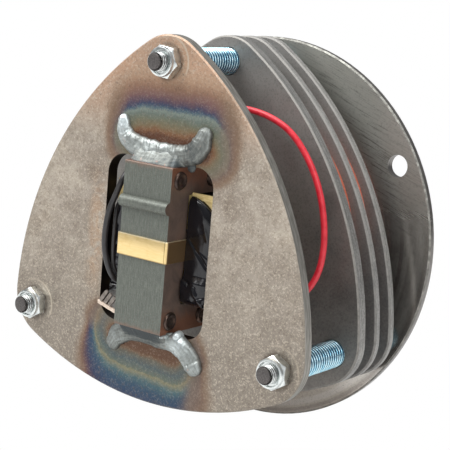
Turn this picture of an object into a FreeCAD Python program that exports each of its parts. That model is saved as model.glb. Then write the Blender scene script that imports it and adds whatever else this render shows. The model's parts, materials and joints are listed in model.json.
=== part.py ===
import FreeCAD, Part
import math
import os
import Sketcher
from FreeCAD import Placement, Rotation, Vector

# Electromagnetic multi-disc clutch, millimetres.
# The shaft axis is Y. The flange's rear mounting face lies in the plane y = 0,
# the front plate is at the -Y end, and +Z points at the top stud.

SIZES = [
    # flange and stack, from the rear forwards
    ("flange_radius", 90.0, "rear flange"),
    ("flange_thick", 4.0, "rear flange"),
    ("mount_circle", 80.0, "radius of the three mounting holes"),
    ("mount_hole_radius", 5.0, "mounting holes"),
    ("centre_hole_radius", 30.0, "shaft opening in flange and thin plates"),
    ("disc_gap", 8.0, "space for one friction disc"),
    ("thin_thick", 4.0, "the two thin plates"),
    ("pressure_thick", 6.0, "pressure plate"),
    ("front_gap", 36.0, "between pressure plate and front plate"),
    ("front_thick", 6.0, "front plate"),
    ("edge_break", 0.7, "chamfer on the plates' outer edges"),
    # triangular outline: three side arcs whose corners are rounded
    ("side_arc_radius", 154.0, "side arcs"),
    ("side_arc_offset", 84.0, "centre of a side arc from the axis"),
    ("corner_radius", 20.8, "rounded corners"),
    # studs and nuts
    ("stud_circle", 79.0, "radius of the three studs"),
    ("stud_radius", 6.0, "M12 part"),
    ("stud_tip_radius", 4.0, "M8 end"),
    ("stud_tip_reach", 9.2, "M8 end in front of the front plate"),
    ("stud_slide_gap", 0.3, "plates around the studs"),
    ("stud_fit", 0.05, "flange and nuts around the studs"),
    ("stud_chamfer", 0.6, "ends of the studs"),
    ("nut_across_flats", 13.0, "M8 lock nut"),
    ("nut_hex_height", 3.4, "hexagon of the nut"),
    ("nut_collar_height", 1.6, "round collar of the nut"),
    ("nut_collar_radius", 6.0, "round collar of the nut"),
    # slot in the front plate and solenoid
    ("slot_width", 58.0, "slot"),
    ("slot_height", 74.0, "slot"),
    ("slot_corner", 9.0, "slot"),
    ("core_width", 26.0, "lamination stack along X"),
    ("core_height", 72.0, "lamination"),
    ("core_proud", 8.0, "solenoid in front of the front plate"),
    ("core_depth", 36.9, "lamination along Y"),
    ("yoke_thick", 12.5, "front yoke of the lamination"),
    ("arm_thick", 12.0, "upper and lower arms of the lamination"),
    ("limb_height", 16.6, "centre limb and plunger stem"),
    ("limb_length", 11.3, "centre limb"),
    ("ridge_radius", 2.8, "half-round key across the yoke"),
    ("ridge_height", 18.7, "key above the axis"),
    ("rivet_radius", 2.5, "lamination rivets"),
    ("rivet_head_radius", 4.0, "lamination rivets"),
    ("rivet_head_height", 1.2, "lamination rivets"),
    ("rivet_level", 30.4, "rivets above and below the axis"),
    ("rivet_front", 5.7, "front rivets behind the yoke's face"),
    ("rivet_back", 28.0, "rear rivets behind the yoke's face"),
    ("rivet_fit", 0.02, "holes around rivets and set screw"),
    ("ring_low", 28.0, "inner bar of a shading ring above the axis"),
    ("ring_high", 34.0, "outer bar of a shading ring above the axis"),
    ("ring_bar", 2.0, "shading ring, both ways"),
    ("ring_groove", 2.1, "height of the groove for a ring"),
    ("ring_sunk", 2.5, "depth of the groove for a ring"),
    ("coil_width", 55.0, "coil"),
    ("coil_height", 47.0, "coil"),
    ("coil_corner", 8.0, "coil"),
    ("bobbin_wall", 1.2, "bobbin"),
    ("bobbin_gap", 0.4, "bobbin around the limb"),
    ("bobbin_flange", 1.6, "bobbin end plates"),
    ("bobbin_set_back", 2.1, "bobbin behind the yoke"),
    ("bobbin_end_gap", 0.6, "bobbin in front of the arms' ends"),
    ("tape_front", 11.7, "end tape behind the yoke's face"),
    ("tape_gap", 1.6, "end tape beside the yoke"),
    ("strap_width", 9.4, "brass strap"),
    ("strap_thick", 0.8, "brass strap"),
    ("strap_gap", 0.1, "brass strap around the yoke"),
    ("strap_bend", 0.7, "outside of the strap's bends"),
    ("strip_set_back", 0.3, "terminal strip behind the yoke's face"),
    ("strip_width", 10.4, "terminal strip along X"),
    ("strip_thick", 1.2, "terminal strip along Y"),
    ("strip_height", 2.2, "terminal strip along Z"),
    ("strip_level", -30.6, "underside of the terminal strip"),
    ("tag_width", 1.3, "terminal tags"),
    ("tag_thick", 0.8, "terminal tags"),
    ("tag_height", 6.0, "terminal tags"),
    ("tag_pitch", 2.7, "terminal tags"),
    ("tag_lean", 35.0, "lean of the tags, degrees"),
    # release travel and what moves with it
    ("travel", 3.0, "release stroke"),
    ("plunger_head_height", 68.0, "plunger head along Z"),
    ("plunger_head_thick", 6.7, "plunger head along Y"),
    ("head_gap", 0.3, "plunger head in front of the bracket"),
    ("stem_wide_gap", 0.2, "plunger stem inside the bobbin, each side"),
    ("stem_high_gap", 0.3, "plunger stem above and below"),
    ("stem_air_gap", 0.2, "left between stem and limb at release"),
    ("head_rivet_radius", 2.0, "plunger rivets"),
    ("head_rivet_cap", 3.0, "radius of the plunger rivets' heads"),
    ("head_rivet_cap_height", 1.0, "plunger rivets' heads"),
    ("head_rivet_level", 27.0, "plunger rivets above and below the axis"),
    ("bracket_base", 3.0, "bracket on the pressure plate"),
    ("bracket_width", 56.0, "bracket base along X"),
    ("bracket_height", 16.0, "bracket base along Z"),
    ("cheek_thick", 3.0, "bracket cheeks"),
    ("cheek_height", 14.0, "bracket cheeks"),
    ("cheek_gap", 0.4, "cheeks beside the plunger"),
    ("screw_place", 23.5, "bracket screws from the axis"),
    ("screw_radius", 2.5, "M5 bracket screws"),
    ("screw_head_radius", 3.6, "bracket screws"),
    ("screw_head_height", 3.2, "bracket screws"),
    ("screw_bite", 4.0, "bracket screws in the pressure plate"),
    ("screw_fit", 0.05, "pressure plate around the screws"),
    ("screw_clearance", 0.2, "bracket around the screws"),
    ("pin_radius", 2.5, "plunger pin"),
    ("pin_head_radius", 3.5, "plunger pin and its clip"),
    ("pin_head_height", 1.2, "plunger pin"),
    ("pin_tail", 2.2, "plunger pin beyond the cheek"),
    ("pin_fit", 0.02, "bracket and clip around the pin"),
    ("pin_play", 0.05, "plunger around the pin"),
    ("clip_thick", 0.8, "pin clip"),
    ("clip_gap", 0.2, "pin clip beside the cheek"),
    ("spring_circle", 50.0, "radius of the three springs"),
    ("spring_wire", 1.6, "spring wire"),
    ("spring_mean_radius", 6.2, "spring coil"),
    ("spring_turns", 7.0, "spring coil"),
    ("spring_end_gap", 0.1, "each end of a spring"),
    ("spigot_radius", 5.1, "spring seats"),
    ("front_spigot", 8.0, "length of the front spring seats"),
    ("rear_spigot", 6.0, "length of the rear spring seats"),
    # discs and hub
    ("disc_radius", 65.6, "friction disc"),
    ("disc_play", 0.1, "each side of a disc at rest"),
    ("disc_core_thick", 2.4, "steel core of a disc"),
    ("disc_core_inset", 0.5, "core's rim inside the linings' rim"),
    ("lining_inner_radius", 42.0, "friction lining"),
    ("hub_radius", 21.0, "hub below the teeth"),
    ("tooth_radius", 24.0, "hub over the teeth"),
    ("tooth_width", 8.0, "hub teeth"),
    ("spline_gap", 0.1, "disc around the hub"),
    ("hub_length", 34.0, "hub"),
    ("hub_rear_gap", 1.0, "hub in front of the mounting plane"),
    ("bore_radius", 12.5, "hub bore"),
    ("keyway_width", 8.0, "keyway"),
    ("keyway_top", 15.8, "keyway floor from the axis"),
    ("set_screw_radius", 3.0, "M6 set screw"),
    ("set_screw_length", 7.0, "set screw"),
    ("set_screw_start", 13.0, "inner end of the set screw from the axis"),
    # leads
    ("red_lead_diameter", 2.8, "red lead"),
    ("black_lead_diameter", 2.6, "black lead"),
    ("thin_lead_diameter", 1.8, "thin lead"),
    # weld beads
    ("bead_radius", 4.1, "weld beads"),
    ("bead_reach", 12.0, "straight run of a bead each side of the axis"),
    ("bead_gap", 0.1, "beads around the solenoid"),
]

STUD_ANGLES = {"top": 90, "left": 210, "right": 330}
FIRST_MOUNT_ANGLE = 30
TOOTH_COUNT = 6
TAG_COUNT = 3

doc = FreeCAD.newDocument("electromagnetic_clutch")
sheet = doc.addObject("Spreadsheet::Sheet", "Sizes")
for row, (alias, number, note) in enumerate(SIZES, start=1):
    sheet.set(f"A{row}", note)
    sheet.set(f"B{row}", str(number))
    sheet.setAlias(f"B{row}", alias)
doc.recompute()

parts = {}


def size(alias):
    """A driving dimension, as a plain number."""
    return float(sheet.get(alias))


# Levels along Y, as expressions of the sheet.
FLANGE_FRONT = "(-Sizes.flange_thick)"
PLATE_PITCH = "(Sizes.disc_gap + Sizes.thin_thick)"
REAR_THIN_FRONT = f"({FLANGE_FRONT} - {PLATE_PITCH})"
FRONT_THIN_FRONT = f"({FLANGE_FRONT} - 2 * {PLATE_PITCH})"
PRESSURE_BACK = f"({FRONT_THIN_FRONT} - Sizes.disc_gap)"
PRESSURE_FRONT = f"({PRESSURE_BACK} - Sizes.pressure_thick)"
FRONT_BACK = f"({PRESSURE_FRONT} - Sizes.front_gap)"
FRONT_FACE = f"({FRONT_BACK} - Sizes.front_thick)"
CORE_FACE = f"({FRONT_FACE} - Sizes.core_proud)"
YOKE_BACK = f"({CORE_FACE} + Sizes.yoke_thick)"
CORE_BACK = f"({CORE_FACE} + Sizes.core_depth)"
LIMB_END = f"({YOKE_BACK} + Sizes.limb_length)"
BRACKET_FRONT = f"({PRESSURE_FRONT} - Sizes.bracket_base)"
HEAD_FRONT = f"({BRACKET_FRONT} - Sizes.head_gap - Sizes.plunger_head_thick)"
BOBBIN_FRONT = f"({YOKE_BACK} + Sizes.bobbin_set_back)"
BOBBIN_BACK = f"({CORE_BACK} - Sizes.bobbin_end_gap)"

OVERSHOOT = 1.0  # a cutting tool runs this far past each face


def level(expression):
    """The number that an expression of the sheet gives."""
    probe = doc.addObject("App::FeaturePython", "Probe")
    probe.addProperty("App::PropertyFloat", "Value")
    probe.setExpression("Value", expression)
    doc.recompute()
    number = probe.Value
    doc.removeObject(probe.Name)
    return number


def bind(thing, bindings):
    """Bind properties to expressions of the sheet."""
    for name, expression in bindings.items():
        thing.setExpression(name, str(expression))
    return thing


def through(start, length):
    """Start and length of a tool that cuts right through a piece."""
    return f"({start} - {OVERSHOOT})", f"({length} + 2 * {OVERSHOOT})"


def around(radius, angle):
    """Expressions for X and Z at a radius and an angle about the axis."""
    return f"{radius} * cos({angle} deg)", f"{radius} * sin({angle} deg)"


def rod(name, radius, length, start, x="0", z="0"):
    """A cylinder along +Y that starts at the level start."""
    thing = doc.addObject("Part::Cylinder", name)
    thing.Placement = Placement(Vector(), Rotation(Vector(1, 0, 0), -90))
    return bind(thing, {
        "Radius": radius, "Height": length,
        "Placement.Base.x": x, "Placement.Base.y": start, "Placement.Base.z": z,
    })


def pin_x(name, radius, length, start, y, z):
    """A cylinder along +X."""
    thing = doc.addObject("Part::Cylinder", name)
    thing.Placement = Placement(Vector(), Rotation(Vector(0, 1, 0), 90))
    return bind(thing, {
        "Radius": radius, "Height": length,
        "Placement.Base.x": start, "Placement.Base.y": y, "Placement.Base.z": z,
    })


def block(name, wide, deep, high, x, y, z):
    """A box whose lowest corner is at x, y, z."""
    thing = doc.addObject("Part::Box", name)
    return bind(thing, {
        "Length": wide, "Width": deep, "Height": high,
        "Placement.Base.x": x, "Placement.Base.y": y, "Placement.Base.z": z,
    })


def bar(name, wide, deep, high, front, z="0"):
    """A box centred on X and on the level z, from front backwards."""
    return block(name, wide, deep, high, f"-({wide}) / 2", front, f"{z} - ({high}) / 2")


def joined(kind, name, things):
    """MultiFuse, MultiCommon or Compound of several objects."""
    thing = doc.addObject(f"Part::{kind}", name)
    if kind == "Compound":
        thing.Links = things
    else:
        thing.Shapes = things
    return thing


def cut(name, base, tools):
    """The base without all the tools."""
    thing = doc.addObject("Part::Cut", name)
    thing.Base = base
    thing.Tool = tools[0] if len(tools) == 1 else joined("MultiFuse", f"{name}_tools", tools)
    return thing


def round_edges(kind, name, base, amount, chosen):
    """A Part::Fillet or Part::Chamfer on the edges that chosen picks."""
    doc.recompute()
    picked = [i for i, edge in enumerate(base.Shape.Edges, start=1) if chosen(edge)]
    if not picked:
        raise ValueError(f"{name}: no edge to round")
    thing = doc.addObject(f"Part::{kind}", name)
    thing.Base = base
    thing.Edges = [(i, amount, amount) for i in picked]
    return thing


def keep(node, thing):
    """Name a finished sub-part."""
    thing.Label = node
    parts[node] = thing
    return thing


def free_shape(name, shape):
    """A solid built with Part's own functions."""
    thing = doc.addObject("Part::Feature", name)
    thing.Shape = shape
    return thing


def along_y(edge):
    """Is this a straight edge parallel to Y?"""
    if not isinstance(edge.Curve, Part.Line):
        return False
    return abs(edge.Curve.Direction.y) > 0.999


def triangle(name, thick, front):
    """Plate blank with three bulged sides and rounded corners."""
    discs = []
    for angle in STUD_ANGLES.values():
        x, z = around("Sizes.side_arc_offset", angle)
        discs.append(rod(f"{name}_side{angle}", "Sizes.side_arc_radius", thick, front, x, z))
    lens = joined("MultiCommon", f"{name}_lens", discs)
    rounded = round_edges("Fillet", f"{name}_outline", lens, size("corner_radius"), along_y)
    return round_edges(
        "Chamfer", f"{name}_blank", rounded, size("edge_break"),
        lambda edge: not along_y(edge))


def stud_holes(name, radius, thick, front):
    """Three holes on the stud circle."""
    start, length = through(front, thick)
    holes = []
    for place, angle in STUD_ANGLES.items():
        x, z = around("Sizes.stud_circle", angle)
        holes.append(rod(f"{name}_hole_{place}", radius, length, start, x, z))
    return holes


# ---------------------------------------------------------------- rear flange
def make_rear_flange():
    """Round flange, turned as a PartDesign body from its rear face forwards."""
    body = doc.addObject("PartDesign::Body", "RearFlange")
    plane = next(f for f in body.Origin.OriginFeatures if f.Role == "XZ_Plane")

    def circle_sketch(name, circles):
        sketch = body.newObject("Sketcher::SketchObject", name)
        sketch.AttachmentSupport = [(plane, "")]
        sketch.MapMode = "FlatFace"
        for centre, radius, bindings in circles:
            i = sketch.addGeometry(Part.Circle(centre, Vector(0, 0, 1), radius), False)
            for constraint, expression in bindings:
                number = sketch.addConstraint(constraint(i))
                sketch.setExpression(f"Constraints[{number}]", expression)
        return sketch

    def radius_of(value):
        return lambda i: Sketcher.Constraint("Radius", i, value)

    def x_of(value):
        return lambda i: Sketcher.Constraint("DistanceX", -1, 1, i, 3, value)

    def y_of(value):
        return lambda i: Sketcher.Constraint("DistanceY", -1, 1, i, 3, value)

    def centred(radius, alias):
        return (Vector(), radius, [
            (radius_of(radius), alias), (x_of(0), "0 mm"), (y_of(0), "0 mm")])

    rim = size("flange_radius")
    profile = circle_sketch("FlangeProfile", [
        centred(rim, "Sizes.flange_radius * 1 mm"),
        centred(size("centre_hole_radius"), "Sizes.centre_hole_radius * 1 mm"),
    ])
    pad = body.newObject("PartDesign::Pad", "FlangePad")
    pad.Profile = profile
    pad.setExpression("Length", "Sizes.flange_thick * 1 mm")
    doc.recompute()
    if pad.Shape.BoundBox.YMax > 0.01:
        pad.Reversed = True
        doc.recompute()

    def hole_ring(name, circle, radius, angle):
        x = size(circle) * math.cos(math.radians(angle))
        y = size(circle) * math.sin(math.radians(angle))
        drawn = size("mount_hole_radius")
        sketch = circle_sketch(f"{name}Sketch", [(Vector(x, y, 0), drawn, [
            (radius_of(drawn), radius),
            (x_of(x), f"Sizes.{circle} * cos({angle} deg) * 1 mm"),
            (y_of(y), f"Sizes.{circle} * sin({angle} deg) * 1 mm"),
        ])])
        pocket = body.newObject("PartDesign::Pocket", f"{name}Pocket")
        pocket.Profile = sketch
        pocket.Type = "ThroughAll"
        pocket.Midplane = True
        doc.recompute()
        pattern = body.newObject("PartDesign::PolarPattern", f"{name}Pattern")
        pattern.Originals = [pocket]
        axis = next(f for f in body.Origin.OriginFeatures if f.Role == "Y_Axis")
        pattern.Axis = (axis, [""])
        pattern.Angle = 360
        pattern.Occurrences = len(STUD_ANGLES)
        body.Tip = pattern
        doc.recompute()
        return pattern

    hole_ring("MountHole", "mount_circle", "Sizes.mount_hole_radius * 1 mm", FIRST_MOUNT_ANGLE)
    last = hole_ring("StudHole", "stud_circle", "(Sizes.stud_radius + Sizes.stud_fit) * 1 mm",
                     STUD_ANGLES["top"])
    outer = [
        f"Edge{i}" for i, edge in enumerate(last.Shape.Edges, start=1)
        if isinstance(edge.Curve, Part.Circle) and abs(edge.Curve.Radius - rim) < 0.01
        and edge.isClosed()]
    chamfer = body.newObject("PartDesign::Chamfer", "RimChamfer")
    chamfer.Base = (last, outer)
    chamfer.setExpression("Size", "Sizes.edge_break * 1 mm")
    body.Tip = chamfer
    keep("rear_flange", body)


# ---------------------------------------------------------------- fixed frame
def make_studs():
    """M12 rods from the flange to the front plate, turned down to M8 at the end."""
    for place, angle in STUD_ANGLES.items():
        x, z = around("Sizes.stud_circle", angle)
        shank = rod(f"Shank_{place}", "Sizes.stud_radius", f"-{FRONT_BACK}", FRONT_BACK, x, z)
        reach = "Sizes.front_thick + Sizes.stud_tip_reach"
        tip = rod(f"Tip_{place}", "Sizes.stud_tip_radius", reach,
                  f"{FRONT_BACK} - ({reach})", x, z)
        whole = joined("MultiFuse", f"Stud_{place}", [shank, tip])
        keep(f"stud_{place}", round_edges(
            "Chamfer", f"StudEnds_{place}", whole, size("stud_chamfer"),
            lambda edge: edge.BoundBox.YLength < 0.01
            and (edge.BoundBox.YMax > -0.01 or edge.BoundBox.YMin < level(FRONT_FACE) - 1)))


def make_nuts():
    """M8 lock nuts: a hexagon with a round collar in front."""
    for place, angle in STUD_ANGLES.items():
        x, z = around("Sizes.stud_circle", angle)
        hexagon = doc.addObject("Part::Prism", f"Hexagon_{place}")
        hexagon.Polygon = 6
        hexagon.Placement = Placement(Vector(), Rotation(Vector(1, 0, 0), 90))
        bind(hexagon, {
            "Circumradius": "Sizes.nut_across_flats / sqrt(3)",
            "Height": "Sizes.nut_hex_height",
            "Placement.Base.x": x, "Placement.Base.y": FRONT_FACE, "Placement.Base.z": z})
        height = "(Sizes.nut_hex_height + Sizes.nut_collar_height)"
        front = f"({FRONT_FACE} - {height})"
        collar = rod(f"Collar_{place}", "Sizes.nut_collar_radius", height, front, x, z)
        start, length = through(front, height)
        hole = rod(f"NutBore_{place}", "Sizes.stud_tip_radius + Sizes.stud_fit", length, start,
                   x, z)
        whole = joined("MultiFuse", f"NutBlank_{place}", [hexagon, collar])
        keep(f"lock_nut_{place}", cut(f"Nut_{place}", whole, [hole]))


def rounded_bar(name, wide, deep, high, front, radius):
    """A bar whose four edges along Y are rounded."""
    return round_edges("Fillet", name, bar(f"{name}_bar", wide, deep, high, front),
                       radius, along_y)


def make_front_plate():
    """Plate with the slot that the solenoid is welded into."""
    blank = triangle("FrontPlate", "Sizes.front_thick", FRONT_FACE)
    start, deep = through(FRONT_FACE, "Sizes.front_thick")
    slot = rounded_bar("Slot", "Sizes.slot_width", deep, "Sizes.slot_height", start,
                       size("slot_corner"))
    holes = stud_holes("FrontPlate", "Sizes.stud_tip_radius + Sizes.stud_slide_gap",
                       "Sizes.front_thick", FRONT_FACE)
    keep("front_plate", cut("FrontPlateCut", blank, [slot] + holes))


# ---------------------------------------------------------------- solenoid
CORE_SIDE = "(Sizes.core_width / 2)"
ACROSS_START, ACROSS_LENGTH = through(f"-{CORE_SIDE}", "Sizes.core_width")


def rivet_places():
    """Level along Y and height of the four lamination rivets."""
    return [
        (f"{CORE_FACE} + Sizes.rivet_{end}", f"{sign} * Sizes.rivet_level")
        for end in ("front", "back") for sign in (1, -1)]


def make_solenoid_frame():
    """E-shaped laminations: front yoke, two arms and a short centre limb."""
    yoke = bar("Yoke", "Sizes.core_width", "Sizes.yoke_thick", "Sizes.core_height", CORE_FACE)
    arms = [
        bar(f"Arm{sign}", "Sizes.core_width", "Sizes.core_depth", "Sizes.arm_thick", CORE_FACE,
            f"{sign} * (Sizes.core_height - Sizes.arm_thick) / 2")
        for sign in (1, -1)]
    limb = bar("Limb", "Sizes.core_width", f"{LIMB_END} - {CORE_FACE}", "Sizes.limb_height",
               CORE_FACE)
    ridge = pin_x("Ridge", "Sizes.ridge_radius", "Sizes.core_width", f"-{CORE_SIDE}", CORE_FACE,
                  "Sizes.ridge_height")
    whole = joined("MultiFuse", "CoreBlank", [yoke, limb, ridge] + arms)
    tools = [
        pin_x(f"RivetHole{i}", "Sizes.rivet_radius + Sizes.rivet_fit", ACROSS_LENGTH,
              ACROSS_START, y, z)
        for i, (y, z) in enumerate(rivet_places())]
    for sign in (1, -1):
        for edge in ("low", "high"):
            tools.append(bar(f"Groove_{edge}{sign + 1}", ACROSS_LENGTH,
                             f"Sizes.ring_sunk + {OVERSHOOT}", "Sizes.ring_groove",
                             f"{CORE_BACK} - Sizes.ring_sunk", f"{sign} * Sizes.ring_{edge}"))
    keep("solenoid_frame", cut("Core", whole, tools))


def make_frame_rivets():
    """Four rivets through the stack, with a low round head on each side."""
    solids = []
    for i, (y, z) in enumerate(rivet_places()):
        shank = pin_x(f"RivetShank{i}", "Sizes.rivet_radius", "Sizes.core_width",
                      f"-{CORE_SIDE}", y, z)
        heads = [
            pin_x(f"RivetHead{i}_{side}", "Sizes.rivet_head_radius", "Sizes.rivet_head_height",
                  start, y, z)
            for side, start in (("right", CORE_SIDE),
                                ("left", f"-{CORE_SIDE} - Sizes.rivet_head_height"))]
        solids.append(joined("MultiFuse", f"Rivet{i}", [shank] + heads))
    keep("frame_rivets", joined("Compound", "FrameRivets", solids))


def make_shading_rings():
    """Copper rings let into the ends of the two arms."""
    tall = "(Sizes.ring_high - Sizes.ring_low + Sizes.ring_bar)"
    front = f"({CORE_BACK} - Sizes.ring_bar - 0.3)"
    start, deep = through(front, "Sizes.ring_bar")
    rings = []
    for sign in (1, -1):
        middle = f"{sign} * (Sizes.ring_low + Sizes.ring_high) / 2"
        outer = bar(f"RingOuter{sign + 1}", "Sizes.core_width + 2 * Sizes.ring_bar",
                    "Sizes.ring_bar", tall, front, middle)
        inner = bar(f"RingInner{sign + 1}", "Sizes.core_width + 0.2", deep,
                    f"{tall} - 2 * Sizes.ring_bar", start, middle)
        rings.append(cut(f"Ring{sign + 1}", outer, [inner]))
    keep("shading_rings", joined("Compound", "ShadingRings", rings))


def make_bobbin():
    """Square tube around the limb with a square plate at each end."""
    inner_wide = "(Sizes.core_width + 2 * Sizes.bobbin_gap)"
    inner_high = "(Sizes.limb_height + 2 * Sizes.bobbin_gap)"
    length = f"({BOBBIN_BACK} - {BOBBIN_FRONT})"
    tube = bar("BobbinTube", f"{inner_wide} + 2 * Sizes.bobbin_wall", length,
               f"{inner_high} + 2 * Sizes.bobbin_wall", BOBBIN_FRONT)
    ends = [
        bar(f"BobbinEnd{name}", "Sizes.coil_width + 1", "Sizes.bobbin_flange",
            "Sizes.coil_height + 0.4", start)
        for name, start in (("Front", BOBBIN_FRONT),
                            ("Back", f"{BOBBIN_BACK} - Sizes.bobbin_flange"))]
    start, deep = through(BOBBIN_FRONT, length)
    hole = bar("BobbinHole", inner_wide, deep, inner_high, start)
    keep("bobbin", cut("Bobbin", joined("MultiFuse", "BobbinBlank", [tube] + ends), [hole]))


def make_coil():
    """Winding wrapped in tape, a rounded ring between the bobbin's end plates."""
    start = f"({BOBBIN_FRONT} + Sizes.bobbin_flange)"
    length = f"({BOBBIN_BACK} - {BOBBIN_FRONT} - 2 * Sizes.bobbin_flange)"
    outer = rounded_bar("CoilOuter", "Sizes.coil_width", length, "Sizes.coil_height", start,
                        size("coil_corner"))
    wall = "2 * (Sizes.bobbin_gap + Sizes.bobbin_wall)"
    tool_start, deep = through(start, length)
    hole = bar("CoilHole", f"Sizes.core_width + {wall}", deep, f"Sizes.limb_height + {wall}",
               tool_start)
    keep("coil", cut("Coil", outer, [hole]))


def make_end_tape():
    """Tape lobes that bulge in front of the bobbin on both sides of the frame."""
    front = f"({CORE_FACE} + Sizes.tape_front)"
    deep = f"({BOBBIN_FRONT} - {front})"
    outer = rounded_bar("TapeOuter", "Sizes.coil_width - 1", deep, "Sizes.coil_height - 0.4",
                        front, size("coil_corner"))
    start, length = through(front, deep)
    middle = bar("TapeMiddle", "Sizes.core_width + 2 * Sizes.tape_gap", length,
                 "Sizes.core_height", start)
    keep("coil_end_tape", cut("EndTape", outer, [middle]))


def make_brass_strap():
    """Thin strap bent round the front of the yoke and back along both sides."""
    front = f"({CORE_FACE} - Sizes.strap_gap - Sizes.strap_thick)"
    length = f"({BOBBIN_FRONT} - Sizes.strap_gap - {front})"
    inner_wide = "(Sizes.core_width + 2 * Sizes.strap_gap)"
    outer = bar("StrapOuter", f"{inner_wide} + 2 * Sizes.strap_thick", length,
                "Sizes.strap_width", front)
    inner = bar("StrapInner", inner_wide, length, "Sizes.strap_width + 2",
                f"{front} + Sizes.strap_thick")
    bent = cut("StrapBent", outer, [inner])
    keep("brass_strap", round_edges(
        "Fillet", "StrapBends", bent, size("strap_bend"),
        lambda edge: isinstance(edge.Curve, Part.Line) and abs(edge.Curve.Direction.z) > 0.999
        and edge.BoundBox.YMax < level(front) + 0.01))


def make_terminal_strip():
    """Small strip beside the frame with three upright tags."""
    front = f"({CORE_FACE} + Sizes.strip_set_back)"
    left = f"(-{CORE_SIDE} - Sizes.strip_width)"
    strip = block("StripBase", "Sizes.strip_width", "Sizes.strip_thick", "Sizes.strip_height",
                  left, front, "Sizes.strip_level")
    tags = []
    for i in range(TAG_COUNT):
        tag = doc.addObject("Part::Box", f"Tag{i}")
        tag.Placement = Placement(Vector(), Rotation(Vector(0, 1, 0), size("tag_lean")))
        bind(tag, {
            "Length": "Sizes.tag_width", "Width": "Sizes.tag_thick", "Height": "Sizes.tag_height",
            "Placement.Base.x": f"{left} + 0.4 + {i} * Sizes.tag_pitch",
            "Placement.Base.y": f"{front} + 0.2",
            "Placement.Base.z": "Sizes.strip_level + 1.5"})
        tags.append(tag)
    keep("terminal_strip", joined("MultiFuse", "TerminalStrip", [strip] + tags))


# ---------------------------------------------------------------- weld beads
# For each bead: its side of the solenoid, the height of its straight run, and the
# radius and swept angle of the arcs at its left and right ends.
WELDS = {
    "upper_weld": {"side": 1, "height": 41.0, "left": (10.5, 90), "right": (11.5, 80)},
    "lower_weld": {"side": -1, "height": 39.9, "left": (10.0, 70), "right": (14.0, 80)},
}


def make_weld(node, side, height, left, right):
    """A bead along an arc, a straight run and an arc, cut flat on its back.

    The bead's line lies in the plate's front face, above (side 1) or below
    (side -1) the solenoid.
    """
    face = level(FRONT_FACE)
    bead = size("bead_radius")
    reach = size("bead_reach")

    def arc(end, radius, sweep):
        centre = Vector(end * reach, face, side * (height + radius))
        points = []
        for share in (0.0, 0.5, 1.0):
            turn = math.radians(sweep * share)
            points.append(centre + Vector(
                end * radius * math.sin(turn), 0, -side * radius * math.cos(turn)))
        return points

    first, last = arc(-1, *left), arc(1, *right)
    path = Part.Wire([
        Part.Arc(first[2], first[1], first[0]).toShape(),
        Part.LineSegment(first[0], last[0]).toShape(),
        Part.Arc(last[0], last[1], last[2]).toShape()])
    start = path.Edges[0].valueAt(path.Edges[0].FirstParameter)
    heading = path.Edges[0].tangentAt(path.Edges[0].FirstParameter)
    ring = Part.Wire([Part.makeCircle(bead, start, heading)])
    tube = path.makePipeShell([ring], True, True)
    solid = tube.fuse([Part.makeSphere(bead, first[2]), Part.makeSphere(bead, last[2])])
    bounds = tube.BoundBox
    margin = 2 * bead
    front = Part.makeBox(
        bounds.XLength + 2 * margin, margin, bounds.ZLength + 2 * margin,
        Vector(bounds.XMin - margin, face - margin, bounds.ZMin - margin))
    half = size("core_height") / 2 + size("bead_gap")
    width = size("core_width") + 2 * size("bead_gap")
    core = Part.makeBox(width, 2 * margin, 2 * half, Vector(-width / 2, face - margin, -half))
    keep(node, free_shape(node.title().replace("_", ""), solid.common(front).cut(core)))


# ---------------------------------------------------------------- leads
ARC_SHARE = 0.45  # an arc's reach from its corner, as a share of the shorter run


def lead_path(points):
    """Straight runs joined by tangent arcs, each as large as its runs allow."""
    edges, radii = [], []
    here = points[0]
    for before, corner, after in zip(points, points[1:], points[2:]):
        back, ahead = before - corner, after - corner
        reach = ARC_SHARE * min(back.Length, ahead.Length)
        turn = math.pi - back.getAngle(ahead)
        radius = reach / math.tan(turn / 2)
        back.normalize()
        ahead.normalize()
        enter, leave = corner + back * reach, corner + ahead * reach
        middle = back + ahead
        middle.normalize()
        inset = radius / math.cos(turn / 2) - radius
        edges.append(Part.LineSegment(here, enter).toShape())
        edges.append(Part.Arc(enter, corner + middle * inset, leave).toShape())
        radii.append(round(radius, 1))
        here = leave
    edges.append(Part.LineSegment(here, points[-1]).toShape())
    return Part.Wire(edges), radii


def make_lead(node, diameter, points):
    """A round insulated wire along its route."""
    path, radii = lead_path([Vector(*p) for p in points])
    first = path.Edges[0]
    ring = Part.Wire([Part.makeCircle(
        size(diameter) / 2, Vector(*points[0]), first.tangentAt(first.FirstParameter))])
    tube = path.makePipeShell([ring], True, True)
    section = math.pi * size(diameter) ** 2 / 4
    share = tube.Volume / (section * path.Length)
    print(node, "length", round(path.Length, 1), "volume share", round(share, 4), "radii", radii)
    keep(node, free_shape(node.title().replace("_", ""), tube))


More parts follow.
